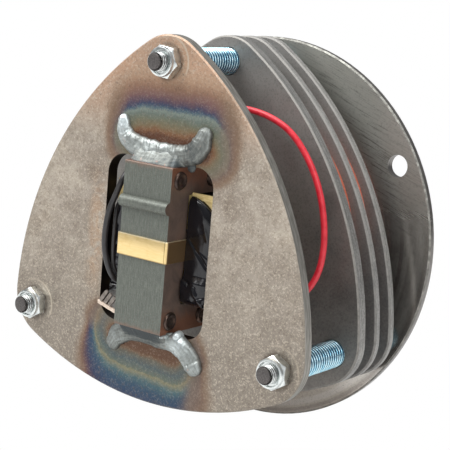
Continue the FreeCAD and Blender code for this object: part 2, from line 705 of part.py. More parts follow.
# The leads' routes are chosen by hand. Each starts and ends on the coil.
RED_ROUTE = [
    (27.5, -66, 7), (34, -66, 7), (40.2, -65.3, 11.2), (42, -64.2, 19), (38.6, -62.9, 27.2),
    (32, -61.6, 33.4), (24.6, -60.3, 38.4), (17.2, -59.1, 42.6), (11.8, -58.1, 48.2),
    (11.8, -57.1, 55.8), (17.2, -56.2, 61), (25, -55.2, 60.8), (34.3, -54.1, 58.9),
    (44.3, -53.1, 54.2), (52.9, -52.1, 44.6), (59.1, -51.1, 33.2), (63.1, -50.7, 20.3),
    (64.9, -51, 6.4), (63.7, -52.7, -6), (58.6, -56.8, -15.2), (50.2, -60.6, -17),
    (41.6, -63.3, -13.8), (34, -64.5, -11.5), (27.5, -64.5, -11.5),
]
BLACK_ROUTE = [
    (-17.5, -66, 23.5), (-17.5, -66, 30), (-17, -73, 34), (-16, -81, 34.6),
    (-17.2, -87.7, 27.4), (-19.6, -88.6, 20), (-21.9, -89.4, 13.6), (-22.8, -90.1, 7.6),
    (-23.5, -90, -0.5), (-22.8, -89.8, -7.2), (-21, -87.7, -15.5), (-19.4, -84.6, -19.6),
    (-19.4, -80.3, -19.6),
]
THIN_ROUTE = [
    (-17.8, -80.3, 19.4), (-17.8, -84, 19.4), (-20.4, -86.7, 14.4), (-20.1, -87.2, 10.8),
    (-20, -87.7, 5.6), (-20, -87.7, -2), (-20.4, -87.1, -8.2), (-20.5, -85.7, -14.1),
    (-18.6, -83.4, -17.2), (-18.6, -80.3, -17.2),
]


# ---------------------------------------------------------------- springs
def spring_places():
    """X and Z of the three springs."""
    return {
        place: (size("spring_circle") * math.cos(math.radians(angle)),
                size("spring_circle") * math.sin(math.radians(angle)))
        for place, angle in STUD_ANGLES.items()}


def make_springs():
    """Three release springs between the front plate and the pressure plate."""
    wire = size("spring_wire")
    radius = size("spring_mean_radius")
    back, front = level(PRESSURE_FRONT), level(FRONT_BACK)
    gap = size("spring_end_gap")
    height = back - front - wire - 2 * gap
    pitch = height / size("spring_turns")
    helix = Part.makeHelix(pitch, height, radius)
    ring = Part.Wire([Part.makeCircle(wire / 2, Vector(radius, 0, 0), Vector(0, 1, 0))])
    coil = Part.Wire(helix.Edges).makePipeShell([ring], True, True)
    upright = Rotation(Vector(1, 0, 0), -90)
    for place, (x, z) in spring_places().items():
        spring = free_shape(f"Spring{place.title()}", coil)
        spring.Placement = Placement(Vector(x, front + wire / 2 + gap, z), upright)
        keep(f"spring_{place}", spring)


def make_spigots(node, length, start):
    """Round pegs that hold the ends of the springs."""
    pegs = []
    for place, angle in STUD_ANGLES.items():
        x, z = around("Sizes.spring_circle", angle)
        pegs.append(rod(f"{node}_{place}", "Sizes.spigot_radius", length, start, x, z))
    keep(node, joined("Compound", node.title().replace("_", ""), pegs))


# ---------------------------------------------------------------- armature
PIN_LEVEL = f"({HEAD_FRONT} + Sizes.plunger_head_thick / 2)"
CHEEK_INSIDE = f"({CORE_SIDE} + Sizes.cheek_gap)"
CHEEK_OUTSIDE = f"({CHEEK_INSIDE} + Sizes.cheek_thick)"


def make_pressure_plate():
    """Plate that the springs push onto the discs."""
    blank = triangle("PressurePlate", "Sizes.pressure_thick", PRESSURE_FRONT)
    holes = stud_holes("PressurePlate", "Sizes.stud_radius + Sizes.stud_slide_gap",
                       "Sizes.pressure_thick", PRESSURE_FRONT)
    for sign in (1, -1):
        holes.append(rod(
            f"ScrewHole{sign + 1}", "Sizes.screw_radius + Sizes.screw_fit",
            f"Sizes.screw_bite + 2 * {OVERSHOOT}", f"{PRESSURE_FRONT} - {OVERSHOOT}",
            f"{sign} * Sizes.screw_place"))
    keep("pressure_plate", cut("PressurePlateCut", blank, holes))


def make_plunger():
    """Laminated T: a head behind the arms and a stem inside the bobbin."""
    head = bar("PlungerHead", "Sizes.core_width", "Sizes.plunger_head_thick",
               "Sizes.plunger_head_height", HEAD_FRONT)
    start = f"({LIMB_END} + Sizes.travel + Sizes.stem_air_gap)"
    stem = bar("PlungerStem", "Sizes.core_width - 2 * Sizes.stem_wide_gap",
               f"{HEAD_FRONT} - {start} + {OVERSHOOT}",
               "Sizes.limb_height - 2 * Sizes.stem_high_gap", start)
    whole = joined("MultiFuse", "PlungerBlank", [head, stem])
    holes = [pin_x("PlungerPinHole", "Sizes.pin_radius + Sizes.pin_play", ACROSS_LENGTH,
                   ACROSS_START, PIN_LEVEL, "0")]
    for sign in (1, -1):
        holes.append(pin_x(
            f"PlungerRivetHole{sign + 1}", "Sizes.head_rivet_radius + Sizes.rivet_fit",
            ACROSS_LENGTH, ACROSS_START, PIN_LEVEL, f"{sign} * Sizes.head_rivet_level"))
    keep("plunger", cut("Plunger", whole, holes))


def make_plunger_rivets():
    """Two rivets through the plunger head."""
    rivets = []
    for sign in (1, -1):
        z = f"{sign} * Sizes.head_rivet_level"
        shank = pin_x(f"HeadRivet{sign + 1}", "Sizes.head_rivet_radius", "Sizes.core_width",
                      f"-{CORE_SIDE}", PIN_LEVEL, z)
        caps = [
            pin_x(f"HeadRivetCap{sign + 1}_{side}", "Sizes.head_rivet_cap",
                  "Sizes.head_rivet_cap_height", start, PIN_LEVEL, z)
            for side, start in (("right", CORE_SIDE),
                                ("left", f"-{CORE_SIDE} - Sizes.head_rivet_cap_height"))]
        rivets.append(joined("MultiFuse", f"HeadRivetWhole{sign + 1}", [shank] + caps))
    keep("plunger_rivets", joined("Compound", "PlungerRivets", rivets))


def make_bracket():
    """U bracket screwed to the pressure plate, with a cheek on each side of the plunger."""
    base = bar("BracketBase", "Sizes.bracket_width", "Sizes.bracket_base",
               "Sizes.bracket_height", BRACKET_FRONT)
    across = f"2 * ({CHEEK_OUTSIDE} + {OVERSHOOT})"
    tools = [pin_x("BracketPinHole", "Sizes.pin_radius + Sizes.pin_fit", across,
                   f"-({across}) / 2", PIN_LEVEL, "0")]
    pieces = [base]
    start, deep = through(BRACKET_FRONT, "Sizes.bracket_base")
    for sign in (1, -1):
        x = CHEEK_INSIDE if sign > 0 else f"-{CHEEK_OUTSIDE}"
        pieces.append(block(
            f"Cheek{sign + 1}", "Sizes.cheek_thick", f"{PRESSURE_FRONT} - {HEAD_FRONT}",
            "Sizes.cheek_height", x, HEAD_FRONT, "-Sizes.cheek_height / 2"))
        tools.append(rod(f"BracketScrewHole{sign + 1}",
                         "Sizes.screw_radius + Sizes.screw_clearance", deep, start,
                         f"{sign} * Sizes.screw_place"))
    keep("drawbar_bracket", cut("Bracket", joined("MultiFuse", "BracketBlank", pieces), tools))


def make_bracket_screws():
    """Two M5 cap screws into the pressure plate."""
    screws = []
    for sign in (1, -1):
        x = f"{sign} * Sizes.screw_place"
        shank = rod(f"BracketShank{sign + 1}", "Sizes.screw_radius",
                    "Sizes.bracket_base + Sizes.screw_bite", BRACKET_FRONT, x)
        head = rod(f"BracketHead{sign + 1}", "Sizes.screw_head_radius",
                   "Sizes.screw_head_height", f"{BRACKET_FRONT} - Sizes.screw_head_height", x)
        screws.append(joined("MultiFuse", f"BracketScrew{sign + 1}", [shank, head]))
    keep("bracket_screws", joined("Compound", "BracketScrews", screws))


def make_plunger_pin():
    """Cross pin through the bracket and the plunger, with a head and a clip."""
    shank = pin_x("PinShank", "Sizes.pin_radius", f"2 * {CHEEK_OUTSIDE} + Sizes.pin_tail",
                  f"-{CHEEK_OUTSIDE}", PIN_LEVEL, "0")
    head = pin_x("PinHead", "Sizes.pin_head_radius", "Sizes.pin_head_height",
                 f"-{CHEEK_OUTSIDE} - Sizes.pin_head_height", PIN_LEVEL, "0")
    keep("plunger_pin", joined("MultiFuse", "PlungerPin", [shank, head]))
    front = f"({CHEEK_OUTSIDE} + Sizes.clip_gap)"
    start, length = through(front, "Sizes.clip_thick")
    outer = pin_x("ClipOuter", "Sizes.pin_head_radius", "Sizes.clip_thick", front, PIN_LEVEL, "0")
    inner = pin_x("ClipInner", "Sizes.pin_radius + Sizes.pin_fit", length, start, PIN_LEVEL, "0")
    keep("pin_clip", cut("ClipRing", outer, [inner]))


# ---------------------------------------------------------------- thin plates
def make_thin_plate(node, front):
    """Plate between two discs, guided by the studs."""
    name = node.title().replace("_", "")
    blank = triangle(name, "Sizes.thin_thick", front)
    holes = stud_holes(name, "Sizes.stud_radius + Sizes.stud_slide_gap", "Sizes.thin_thick",
                       front)
    start, deep = through(front, "Sizes.thin_thick")
    holes.append(rod(f"{name}_centre", "Sizes.centre_hole_radius", deep, start))
    keep(node, cut(f"{name}Cut", blank, holes))


# ---------------------------------------------------------------- discs and hub
def spline_solid(name, gap, length, front):
    """Round core with teeth, grown by gap all round."""
    teeth = []
    for i in range(TOOTH_COUNT // 2):
        tooth = doc.addObject("Part::Box", f"{name}_tooth{i}")
        turn = Rotation(Vector(0, 1, 0), i * 360 / TOOTH_COUNT)
        tooth.Placement = Placement(Vector(), turn)
        wide, high = f"(Sizes.tooth_width + 2 * {gap})", f"(2 * Sizes.tooth_radius + 10)"
        angle = i * 360 / TOOTH_COUNT
        bind(tooth, {
            "Length": wide, "Width": length, "Height": high,
            "Placement.Base.x": f"-{wide} / 2 * cos({angle} deg) - {high} / 2 * sin({angle} deg)",
            "Placement.Base.y": front,
            "Placement.Base.z": f"{wide} / 2 * sin({angle} deg) - {high} / 2 * cos({angle} deg)"})
        teeth.append(tooth)
    star = joined("MultiFuse", f"{name}_star", teeth)
    limit = rod(f"{name}_limit", f"Sizes.tooth_radius + {gap}", length, front)
    trimmed = joined("MultiCommon", f"{name}_teeth", [star, limit])
    core = rod(f"{name}_core", f"Sizes.hub_radius + {gap}", length, front)
    return joined("MultiFuse", f"{name}_spline", [core, trimmed])


def make_disc(place, middle):
    """Steel core with an internal spline and a lining ring on each face."""
    name = f"Disc{place.title()}"
    half = "Sizes.disc_core_thick / 2"
    core = rod(f"{name}Blank", "Sizes.disc_radius - Sizes.disc_core_inset",
               "Sizes.disc_core_thick", f"{middle} - {half}")
    start, length = through(f"{middle} - {half}", "Sizes.disc_core_thick")
    hole = spline_solid(f"{name}Hole", "Sizes.spline_gap", length, start)
    keep(f"{place}_disc_core", cut(f"{name}Core", core, [hole]))
    thick = "(Sizes.disc_gap / 2 - Sizes.disc_play - Sizes.disc_core_thick / 2)"
    for side, start in (("front", f"{middle} - {half} - {thick}"), ("rear", f"{middle} + {half}")):
        ring = rod(f"{name}Ring{side}", "Sizes.disc_radius", thick, start)
        tool_start, tool_length = through(start, thick)
        inside = rod(f"{name}Inside{side}", "Sizes.lining_inner_radius", tool_length, tool_start)
        keep(f"{place}_disc_{side}_lining", cut(f"{name}Lining{side}", ring, [inside]))


def make_hub():
    """Splined hub with a keyed bore and a radial set screw."""
    front = "(-Sizes.hub_rear_gap - Sizes.hub_length)"
    middle = f"({front} + Sizes.hub_length / 2)"
    blank = spline_solid("Hub", "0", "Sizes.hub_length", front)
    start, length = through(front, "Sizes.hub_length")
    bore = rod("HubBore", "Sizes.bore_radius", length, start)
    keyway = block("Keyway", "Sizes.keyway_width", length, "Sizes.keyway_top",
                   "-Sizes.keyway_width / 2", start, "0")
    screw_hole = pin_x("ScrewHole", "Sizes.set_screw_radius + Sizes.rivet_fit",
                       "Sizes.tooth_radius", "Sizes.bore_radius / 2", middle, "0")
    keep("splined_hub", cut("SplinedHub", blank, [bore, keyway, screw_hole]))
    keep("hub_set_screw", pin_x("HubSetScrew", "Sizes.set_screw_radius",
                                "Sizes.set_screw_length", "Sizes.set_screw_start", middle, "0"))


# ---------------------------------------------------------------- assembly
make_rear_flange()
make_studs()
make_nuts()
make_front_plate()
make_solenoid_frame()
make_frame_rivets()
make_shading_rings()
make_bobbin()
make_coil()
make_end_tape()
make_brass_strap()
make_terminal_strip()
for node, bead in WELDS.items():
    make_weld(node, **bead)
make_lead("red_lead", "red_lead_diameter", RED_ROUTE)
make_lead("black_lead", "black_lead_diameter", BLACK_ROUTE)
make_lead("thin_lead", "thin_lead_diameter", THIN_ROUTE)
make_springs()
make_spigots("front_spring_seats", "Sizes.front_spigot", FRONT_BACK)
make_spigots("rear_spring_seats", "Sizes.rear_spigot", f"{PRESSURE_FRONT} - Sizes.rear_spigot")
make_pressure_plate()
make_plunger()
make_plunger_rivets()
make_bracket()
make_bracket_screws()
make_plunger_pin()
make_thin_plate("front_thin_plate", FRONT_THIN_FRONT)
make_thin_plate("rear_thin_plate", REAR_THIN_FRONT)
make_disc("front", f"({FRONT_THIN_FRONT} - Sizes.disc_gap / 2)")
make_disc("middle", f"({REAR_THIN_FRONT} - Sizes.disc_gap / 2)")
make_disc("rear", f"({FLANGE_FRONT} - Sizes.disc_gap / 2)")
make_hub()
doc.recompute()

for thing in doc.Objects:
    if "Invalid" in thing.State or "Error" in thing.State:
        raise RuntimeError(f"{thing.Name} failed: {thing.State}")
for node, thing in parts.items():
    if thing.Shape.isNull() or not thing.Shape.isValid():
        raise RuntimeError(f"{node} has no valid shape")
    if not thing.Shape.Solids:
        raise RuntimeError(f"{node} has no solid")

os.makedirs("parts", exist_ok=True)
for node, thing in parts.items():
    thing.Shape.exportStep(f"parts/{node}.step")
print(len(parts), "sub-parts")
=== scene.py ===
"""Looks of the electromagnetic clutch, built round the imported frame.

Everything is in the row frame: the shaft axis is Y, the flange's mounting face lies in y = 0,
the solenoid is at the -Y end and +Z points at the top stud. Lengths given as numbers are
millimetres until mm() or MM turns them into metres.
"""

import json
import math
import random

import bmesh
import bpy
from mathutils import Matrix, Vector, noise


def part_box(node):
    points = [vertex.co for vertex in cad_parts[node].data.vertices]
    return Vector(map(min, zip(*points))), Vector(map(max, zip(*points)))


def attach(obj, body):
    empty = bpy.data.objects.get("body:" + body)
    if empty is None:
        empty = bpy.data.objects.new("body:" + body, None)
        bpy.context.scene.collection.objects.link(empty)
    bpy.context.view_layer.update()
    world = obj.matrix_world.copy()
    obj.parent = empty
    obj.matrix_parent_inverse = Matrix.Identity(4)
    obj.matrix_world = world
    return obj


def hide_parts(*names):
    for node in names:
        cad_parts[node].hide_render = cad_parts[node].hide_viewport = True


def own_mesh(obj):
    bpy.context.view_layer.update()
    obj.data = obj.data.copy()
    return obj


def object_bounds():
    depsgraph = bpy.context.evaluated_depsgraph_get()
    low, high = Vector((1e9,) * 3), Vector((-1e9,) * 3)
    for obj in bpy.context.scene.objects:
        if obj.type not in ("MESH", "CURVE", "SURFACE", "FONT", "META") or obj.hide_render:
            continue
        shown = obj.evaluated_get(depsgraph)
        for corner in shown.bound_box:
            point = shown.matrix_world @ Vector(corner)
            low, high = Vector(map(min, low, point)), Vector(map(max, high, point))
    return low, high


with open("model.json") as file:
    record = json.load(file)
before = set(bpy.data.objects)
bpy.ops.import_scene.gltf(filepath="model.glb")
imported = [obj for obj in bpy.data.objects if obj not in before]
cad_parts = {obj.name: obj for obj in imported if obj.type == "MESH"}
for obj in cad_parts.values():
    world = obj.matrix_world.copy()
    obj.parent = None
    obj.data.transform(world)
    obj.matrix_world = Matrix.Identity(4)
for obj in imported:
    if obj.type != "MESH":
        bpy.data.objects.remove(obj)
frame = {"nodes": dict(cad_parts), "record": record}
cad_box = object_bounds()
NODES = frame["nodes"]
BODY_OF = {node: body for body, nodes in frame["record"]["behaviour"]["bodies"].items()
           for node in nodes}
MM = 0.001


def mm(*numbers):
    """A point given in millimetres, in metres."""
    return Vector(numbers) * MM


def limits(node):
    """Lowest and highest corner of a CAD node, in millimetres."""
    low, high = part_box(node)
    return low / MM, high / MM


# Levels along Y that several pieces share, in millimetres.
FRONT_FACE = limits("front_plate")[0].y
FRONT_BACK = limits("front_plate")[1].y
CORE_FACE = limits("frame_rivets")[0].y - 1.7
STUDS = ("top", "left", "right")


# ------------------------------------------------------------------ camera, light, floor
CAMERA_EYE = mm(364.5, -535.8, 119.7)
CAMERA_AZIMUTH = 35.992
CAMERA_ELEVATION = 10.563
CAMERA_ROLL = 4.865
CAMERA_LENS = 110.22


def make_camera():
    """A long lens in front of the solenoid, to its right and a little above it."""
    data = bpy.data.cameras.new("camera")
    data.lens = CAMERA_LENS
    data.sensor_width = 36
    camera = bpy.data.objects.new("camera", data)
    bpy.context.scene.collection.objects.link(camera)
    turn = (Matrix.Rotation(math.radians(CAMERA_AZIMUTH), 4, "Z")
            @ Matrix.Rotation(math.radians(90 - CAMERA_ELEVATION), 4, "X")
            @ Matrix.Rotation(math.radians(CAMERA_ROLL), 4, "Z"))
    camera.matrix_world = Matrix.Translation(CAMERA_EYE) @ turn
    bpy.context.scene.camera = camera


def make_softbox(name, azimuth, elevation, distance, side, power):
    """A square area light that looks at the object from an azimuth and elevation."""
    data = bpy.data.lights.new(name, "AREA")
    data.shape = "SQUARE"
    data.size = side
    data.energy = power
    light = bpy.data.objects.new(name, data)
    bpy.context.scene.collection.objects.link(light)
    a, e = math.radians(azimuth), math.radians(elevation)
    away = Vector((math.sin(a) * math.cos(e), -math.cos(a) * math.cos(e), math.sin(e)))
    middle = (cad_box[0] + cad_box[1]) / 2
    light.location = middle + away * distance
    light.rotation_euler = (-away).to_track_quat("-Z", "Y").to_euler()


def make_world():
    """White studio: plain white behind the object, grey cards all round it."""
    world = bpy.data.worlds.new("studio")
    bpy.context.scene.world = world
    world.use_nodes = True
    nodes, links = world.node_tree.nodes, world.node_tree.links
    seen = nodes["Background"]
    seen.inputs["Color"].default_value = (1, 1, 1, 1)
    seen.inputs["Strength"].default_value = 1.0
    cards = nodes.new("ShaderNodeBackground")
    heights = nodes.new("ShaderNodeValToRGB")
    heights.color_ramp.elements[0].position = 0.0
    heights.color_ramp.elements[0].color = (0.50, 0.49, 0.48, 1)
    heights.color_ramp.elements[1].position = 1.0
    heights.color_ramp.elements[1].color = (0.42, 0.43, 0.44, 1)
    middle = heights.color_ramp.elements.new(0.5)
    middle.color = (0.20, 0.20, 0.21, 1)
    place = nodes.new("ShaderNodeTexCoord")
    split = nodes.new("ShaderNodeSeparateXYZ")
    spread = nodes.new("ShaderNodeMapRange")
    spread.inputs["From Min"].default_value = -1
    links.new(place.outputs["Generated"], split.inputs[0])
    links.new(split.outputs["Z"], spread.inputs["Value"])
    links.new(spread.outputs[0], heights.inputs[0])
    links.new(heights.outputs[0], cards.inputs["Color"])
    rays = nodes.new("ShaderNodeLightPath")
    mix = nodes.new("ShaderNodeMixShader")
    links.new(rays.outputs["Is Camera Ray"], mix.inputs[0])
    links.new(cards.outputs[0], mix.inputs[1])
    links.new(seen.outputs[0], mix.inputs[2])
    links.new(mix.outputs[0], nodes["World Output"].inputs["Surface"])


def make_floor():
    """Pale floor under the flange's rim, which lights the object but isn't seen itself."""
    bpy.ops.mesh.primitive_circle_add(vertices=96, radius=6, fill_type="NGON",
                                      location=(0, 0, cad_box[0].z))
    floor = bpy.context.object
    floor.name = "floor"
    material = bpy.data.materials.new("pale_floor")
    material.use_nodes = True
    shader = material.node_tree.nodes["Principled BSDF"]
    shader.inputs["Base Color"].default_value = (0.6, 0.6, 0.6, 1)
    shader.inputs["Roughness"].default_value = 0.9
    shader.inputs["Emission Color"].default_value = (1, 1, 1, 1)
    shader.inputs["Emission Strength"].default_value = 0.32
    floor.data.materials.append(material)
    floor.visible_camera = False


# ------------------------------------------------------------------ material tools
def rgb(red, green, blue):
    """Linear colour from display values of 0 to 255."""
    def linear(value):
        share = value / 255
        return share / 12.92 if share <= 0.04045 else ((share + 0.055) / 1.055) ** 2.4
    return linear(red), linear(green), linear(blue)


class Finish:
    """A procedural material in short calls. Sizes of features are in millimetres."""

    def __init__(self, name, **sockets):
        self.material = bpy.data.materials.new(name)
        self.material.use_nodes = True
        self.nodes = self.material.node_tree.nodes
        self.links = self.material.node_tree.links
        self.shader = self.nodes["Principled BSDF"]
        place = self.nodes.new("ShaderNodeTexCoord")
        self.place, self.facing = place.outputs["Object"], place.outputs["Normal"]
        for name, value in sockets.items():
            self.set(name.replace("_", " ").title().replace("Ior", "IOR"), value)

    def set(self, socket, value):
        self.feed(self.shader.inputs[socket], value)

    def feed(self, target, value):
        if isinstance(value, bpy.types.NodeSocket):
            self.links.new(value, target)
        elif target.type == "RGBA":
            target.default_value = (*value, 1)
        else:
            target.default_value = value

    def add(self, kind, out=0, **inputs):
        node = self.nodes.new(kind)
        for name, value in inputs.items():
            self.feed(node.inputs[name.replace("_", " ")], value)
        return node.outputs[out]

    def calc(self, operation, a, b=0.0, c=0.0, clamp=False):
        node = self.nodes.new("ShaderNodeMath")
        node.operation = operation
        node.use_clamp = clamp
        for i, value in enumerate((a, b, c)):
            self.feed(node.inputs[i], value)
        return node.outputs[0]

    def times(self, a, b):
        return self.calc("MULTIPLY", a, b)

    def size(self, value):
        """A value without its sign."""
        return self.calc("ABSOLUTE", value)

    def span(self, letter):
        """Place along an axis, in millimetres."""
        return self.times(self.axis(self.place, letter), 1 / MM)

    def faces(self, letter):
        """How squarely the surface faces along an axis, 0 to 1."""
        return self.size(self.axis(self.facing, letter))

    def reach(self, a, b):
        """Length of the line with sides a and b."""
        return self.calc("SQRT", self.calc("ADD", self.times(a, a), self.times(b, b)))

    def vector(self, operation, a, b=(0, 0, 0)):
        node = self.nodes.new("ShaderNodeVectorMath")
        node.operation = operation
        self.feed(node.inputs[0], a)
        self.feed(node.inputs[1], b)
        return node.outputs[0]

    def axis(self, vector, letter):
        node = self.nodes.new("ShaderNodeSeparateXYZ")
        self.links.new(vector, node.inputs[0])
        return node.outputs[letter]

    def spread(self, value, low, high, first=0.0, last=1.0):
        """Map low..high to first..last smoothly, held at both ends."""
        node = self.nodes.new("ShaderNodeMapRange")
        node.interpolation_type = "SMOOTHSTEP"
        for i, number in enumerate((value, low, high, first, last)):
            self.feed(node.inputs[i], number)
        return node.outputs[0]

    def noise(self, size, detail=3.0, rough=0.55, warp=0.0, stretch=(1, 1, 1), where=None):
        """Noise with features of a size, drawn out along axes by stretch."""
        at = self.place if where is None else where
        if stretch != (1, 1, 1):
            at = self.vector("DIVIDE", at, stretch)
        return self.add("ShaderNodeTexNoise", Vector=at, Scale=1 / (size * MM), Detail=detail,
                        Roughness=rough, Distortion=warp)

    def attribute(self, name):
        """A vector kept with each point of the mesh."""
        node = self.nodes.new("ShaderNodeAttribute")
        node.attribute_name = name
        return node.outputs["Vector"]

    def dice(self, value):
        """A random number from 0 to 1 for each whole number."""
        node = self.nodes.new("ShaderNodeTexWhiteNoise")
        node.noise_dimensions = "1D"
        self.feed(node.inputs["W"], self.calc("FLOOR", value))
        return node.outputs["Value"]

    def cells(self, size, feature="F1", stretch=(1, 1, 1)):
        at = self.vector("DIVIDE", self.place, stretch)
        node = self.nodes.new("ShaderNodeTexVoronoi")
        node.feature = feature
        self.feed(node.inputs["Vector"], at)
        self.feed(node.inputs["Scale"], 1 / (size * MM))
        return node.outputs[0]

    def mix(self, factor, a, b, blend="MIX"):
        node = self.nodes.new("ShaderNodeMix")
        node.data_type = "RGBA"
        node.blend_type = blend
        self.feed(node.inputs[0], factor)
        self.feed(node.inputs[6], a)
        self.feed(node.inputs[7], b)
        return node.outputs[2]

    def coat(self, colour, roughness=None, relief=None, depth=0.05, strength=0.5):
        """Set the colour and, where given, the roughness and a relief of a depth in mm."""
        self.set("Base Color", colour)
        if roughness is not None:
            self.set("Roughness", roughness)
        if relief is not None:
            self.set("Normal", self.bump(relief, depth, strength))
        return self

    def ramp(self, value, *stops):
        """Colour ramp through (position, colour) stops."""
        node = self.nodes.new("ShaderNodeValToRGB")
        elements = node.color_ramp.elements
        elements[0].position, elements[1].position = stops[0][0], stops[-1][0]
        for position, _colour in stops[1:-1]:
            elements.new(position)
        for element, (_position, colour) in zip(elements, stops):
            element.color = (*colour, 1)
        self.feed(node.inputs[0], value)
        return node.outputs[0]

    def bump(self, height, depth, strength=1.0, below=None):
        """Raise the surface by height (0 to 1) times depth in millimetres."""
        node = self.nodes.new("ShaderNodeBump")
        self.feed(node.inputs["Height"], height)
        node.inputs["Strength"].default_value = strength
        node.inputs["Distance"].default_value = depth * MM
        if below is not None:
            self.links.new(below, node.inputs["Normal"])
        return node.outputs[0]


FINISHES = {}


def finish(function):
    """Keep a material function under its own name; it runs once, when first used."""
    def made():
        if function.__name__ not in FINISHES:
            FINISHES[function.__name__] = function().material
        return FINISHES[function.__name__]
    return made


# ------------------------------------------------------------------ steel finishes
UPPER_HEAT = {
    "middle": 4.5, "half": 16.5, "level": 43.0, "slope": 0.0, "outward": 1,
    "squeeze": 1.4, "ring": 14.2, "side": 2.0, "far": 4.6, "fades": (34, -28),
    "colours": (
        (0.00, rgb(90, 58, 42)), (0.07, rgb(122, 88, 62)), (0.16, rgb(116, 104, 80)),
        (0.27, rgb(104, 108, 92)), (0.37, rgb(102, 112, 104)), (0.435, rgb(118, 130, 122)),
        (0.475, rgb(74, 94, 106)), (0.51, rgb(60, 68, 92)), (0.56, rgb(86, 70, 84)),
        (0.63, rgb(116, 88, 86)), (0.75, rgb(138, 106, 88)), (0.88, rgb(158, 128, 104)),
        (1.00, rgb(156, 136, 112))),
}
LOWER_HEAT = {
    "middle": -2.0, "half": 15.0, "level": -43.5, "slope": -0.07, "outward": -1,
    "squeeze": 1.2, "ring": 14.0, "side": 1.9, "far": 9.0, "fades": (27, -41),
    "colours": (
        (0.00, rgb(92, 66, 50)), (0.05, rgb(106, 84, 66)), (0.12, rgb(92, 90, 80)),
        (0.25, rgb(76, 88, 90)), (0.385, rgb(92, 100, 90)), (0.42, rgb(122, 118, 94)),
        (0.47, rgb(72, 96, 100)), (0.53, rgb(48, 72, 92)), (0.64, rgb(48, 58, 84)),
        (0.70, rgb(68, 54, 72)), (0.77, rgb(100, 68, 62)), (0.86, rgb(124, 92, 70)),
        (1.00, rgb(146, 124, 104))),
}
BEAD_HALF_WIDTH = 4.5
COARSE_SHIFT, FINE_SHIFT = 0.0042, 0.0022  # full swing of the noise that bends the bands, in metres


def heat_tint(paint, zone):
    """Colour and strength of the tint round one weld."""
    wobble = paint.add("ShaderNodeTexNoise", out=1, Vector=paint.place, Scale=140.0, Detail=4.0)
    shift = paint.vector("SUBTRACT", wobble, (0.5, 0.5, 0.5))
    grain = paint.add("ShaderNodeTexNoise", out=1, Vector=paint.place, Scale=1500.0, Detail=2.0)
    shift = paint.vector("ADD", paint.vector("MULTIPLY", shift, (COARSE_SHIFT,) * 3),
                         paint.vector("MULTIPLY",
                                      paint.vector("SUBTRACT", grain, (0.5, 0.5, 0.5)),
                                      (FINE_SHIFT,) * 3))
    here = paint.vector("ADD", paint.place, shift)
    x_whole = paint.times(paint.axis(here, "X"), 1 / MM)
    z = paint.times(paint.axis(here, "Z"), 1 / MM)
    x = paint.calc("SUBTRACT", x_whole, zone["middle"])
    along = paint.calc("MAXIMUM", paint.calc(
        "SUBTRACT", paint.size(x), zone["half"]), 0.0)
    line = paint.calc("MULTIPLY_ADD", x, zone["slope"], zone["level"])
    out = paint.times(paint.calc("SUBTRACT", z, line), zone["outward"])
    inward = paint.times(paint.calc("MINIMUM", out, 0.0), zone["squeeze"])
    outward = paint.calc("MAXIMUM", out, 0.0)
    across = paint.calc("ADD", inward, outward)
    distance = paint.calc("SQRT", paint.calc(
        "ADD", paint.calc("POWER", along, 2.0), paint.times(across, across)))
    aim = paint.calc("DIVIDE", outward, paint.calc("MAXIMUM", distance, 0.1), clamp=True)
    width = paint.calc("MULTIPLY_ADD", paint.calc("POWER", aim, 2.0),
                       zone["far"] - zone["side"], zone["side"])
    past = paint.calc("SUBTRACT", distance, zone["ring"])
    inner = paint.calc("DIVIDE", paint.calc("MINIMUM", past, 0.0),
                       zone["ring"] - BEAD_HALF_WIDTH)
    outer = paint.calc("DIVIDE", paint.calc("MAXIMUM", past, 0.0), width)
    # the ramp gives its first 0.42 to the inside and the rest to four widths outside
    place = paint.calc("MULTIPLY_ADD", inner, 0.42, 0.42)
    place = paint.calc("MULTIPLY_ADD", outer, 0.145, place)
    colour = paint.ramp(place, *zone["colours"])
    right, left = zone["fades"]
    faded = paint.calc("MAXIMUM", paint.spread(x_whole, right - 9, right, 0.0, 0.75),
                       paint.spread(x_whole, left + 9, left, 0.0, 0.7))
    level = paint.times(z, zone["outward"])
    faded = paint.calc("MAXIMUM", faded, paint.spread(level, 47, 38, 0.0, 0.8))
    faded = paint.times(faded, paint.spread(place, 0.2, 0.45, 0.35, 1.0))
    colour = paint.mix(faded, colour, rgb(120, 101, 84))
    strength = paint.spread(place, 0.72, 1.12, 1.0, 0.0)
    return colour, strength


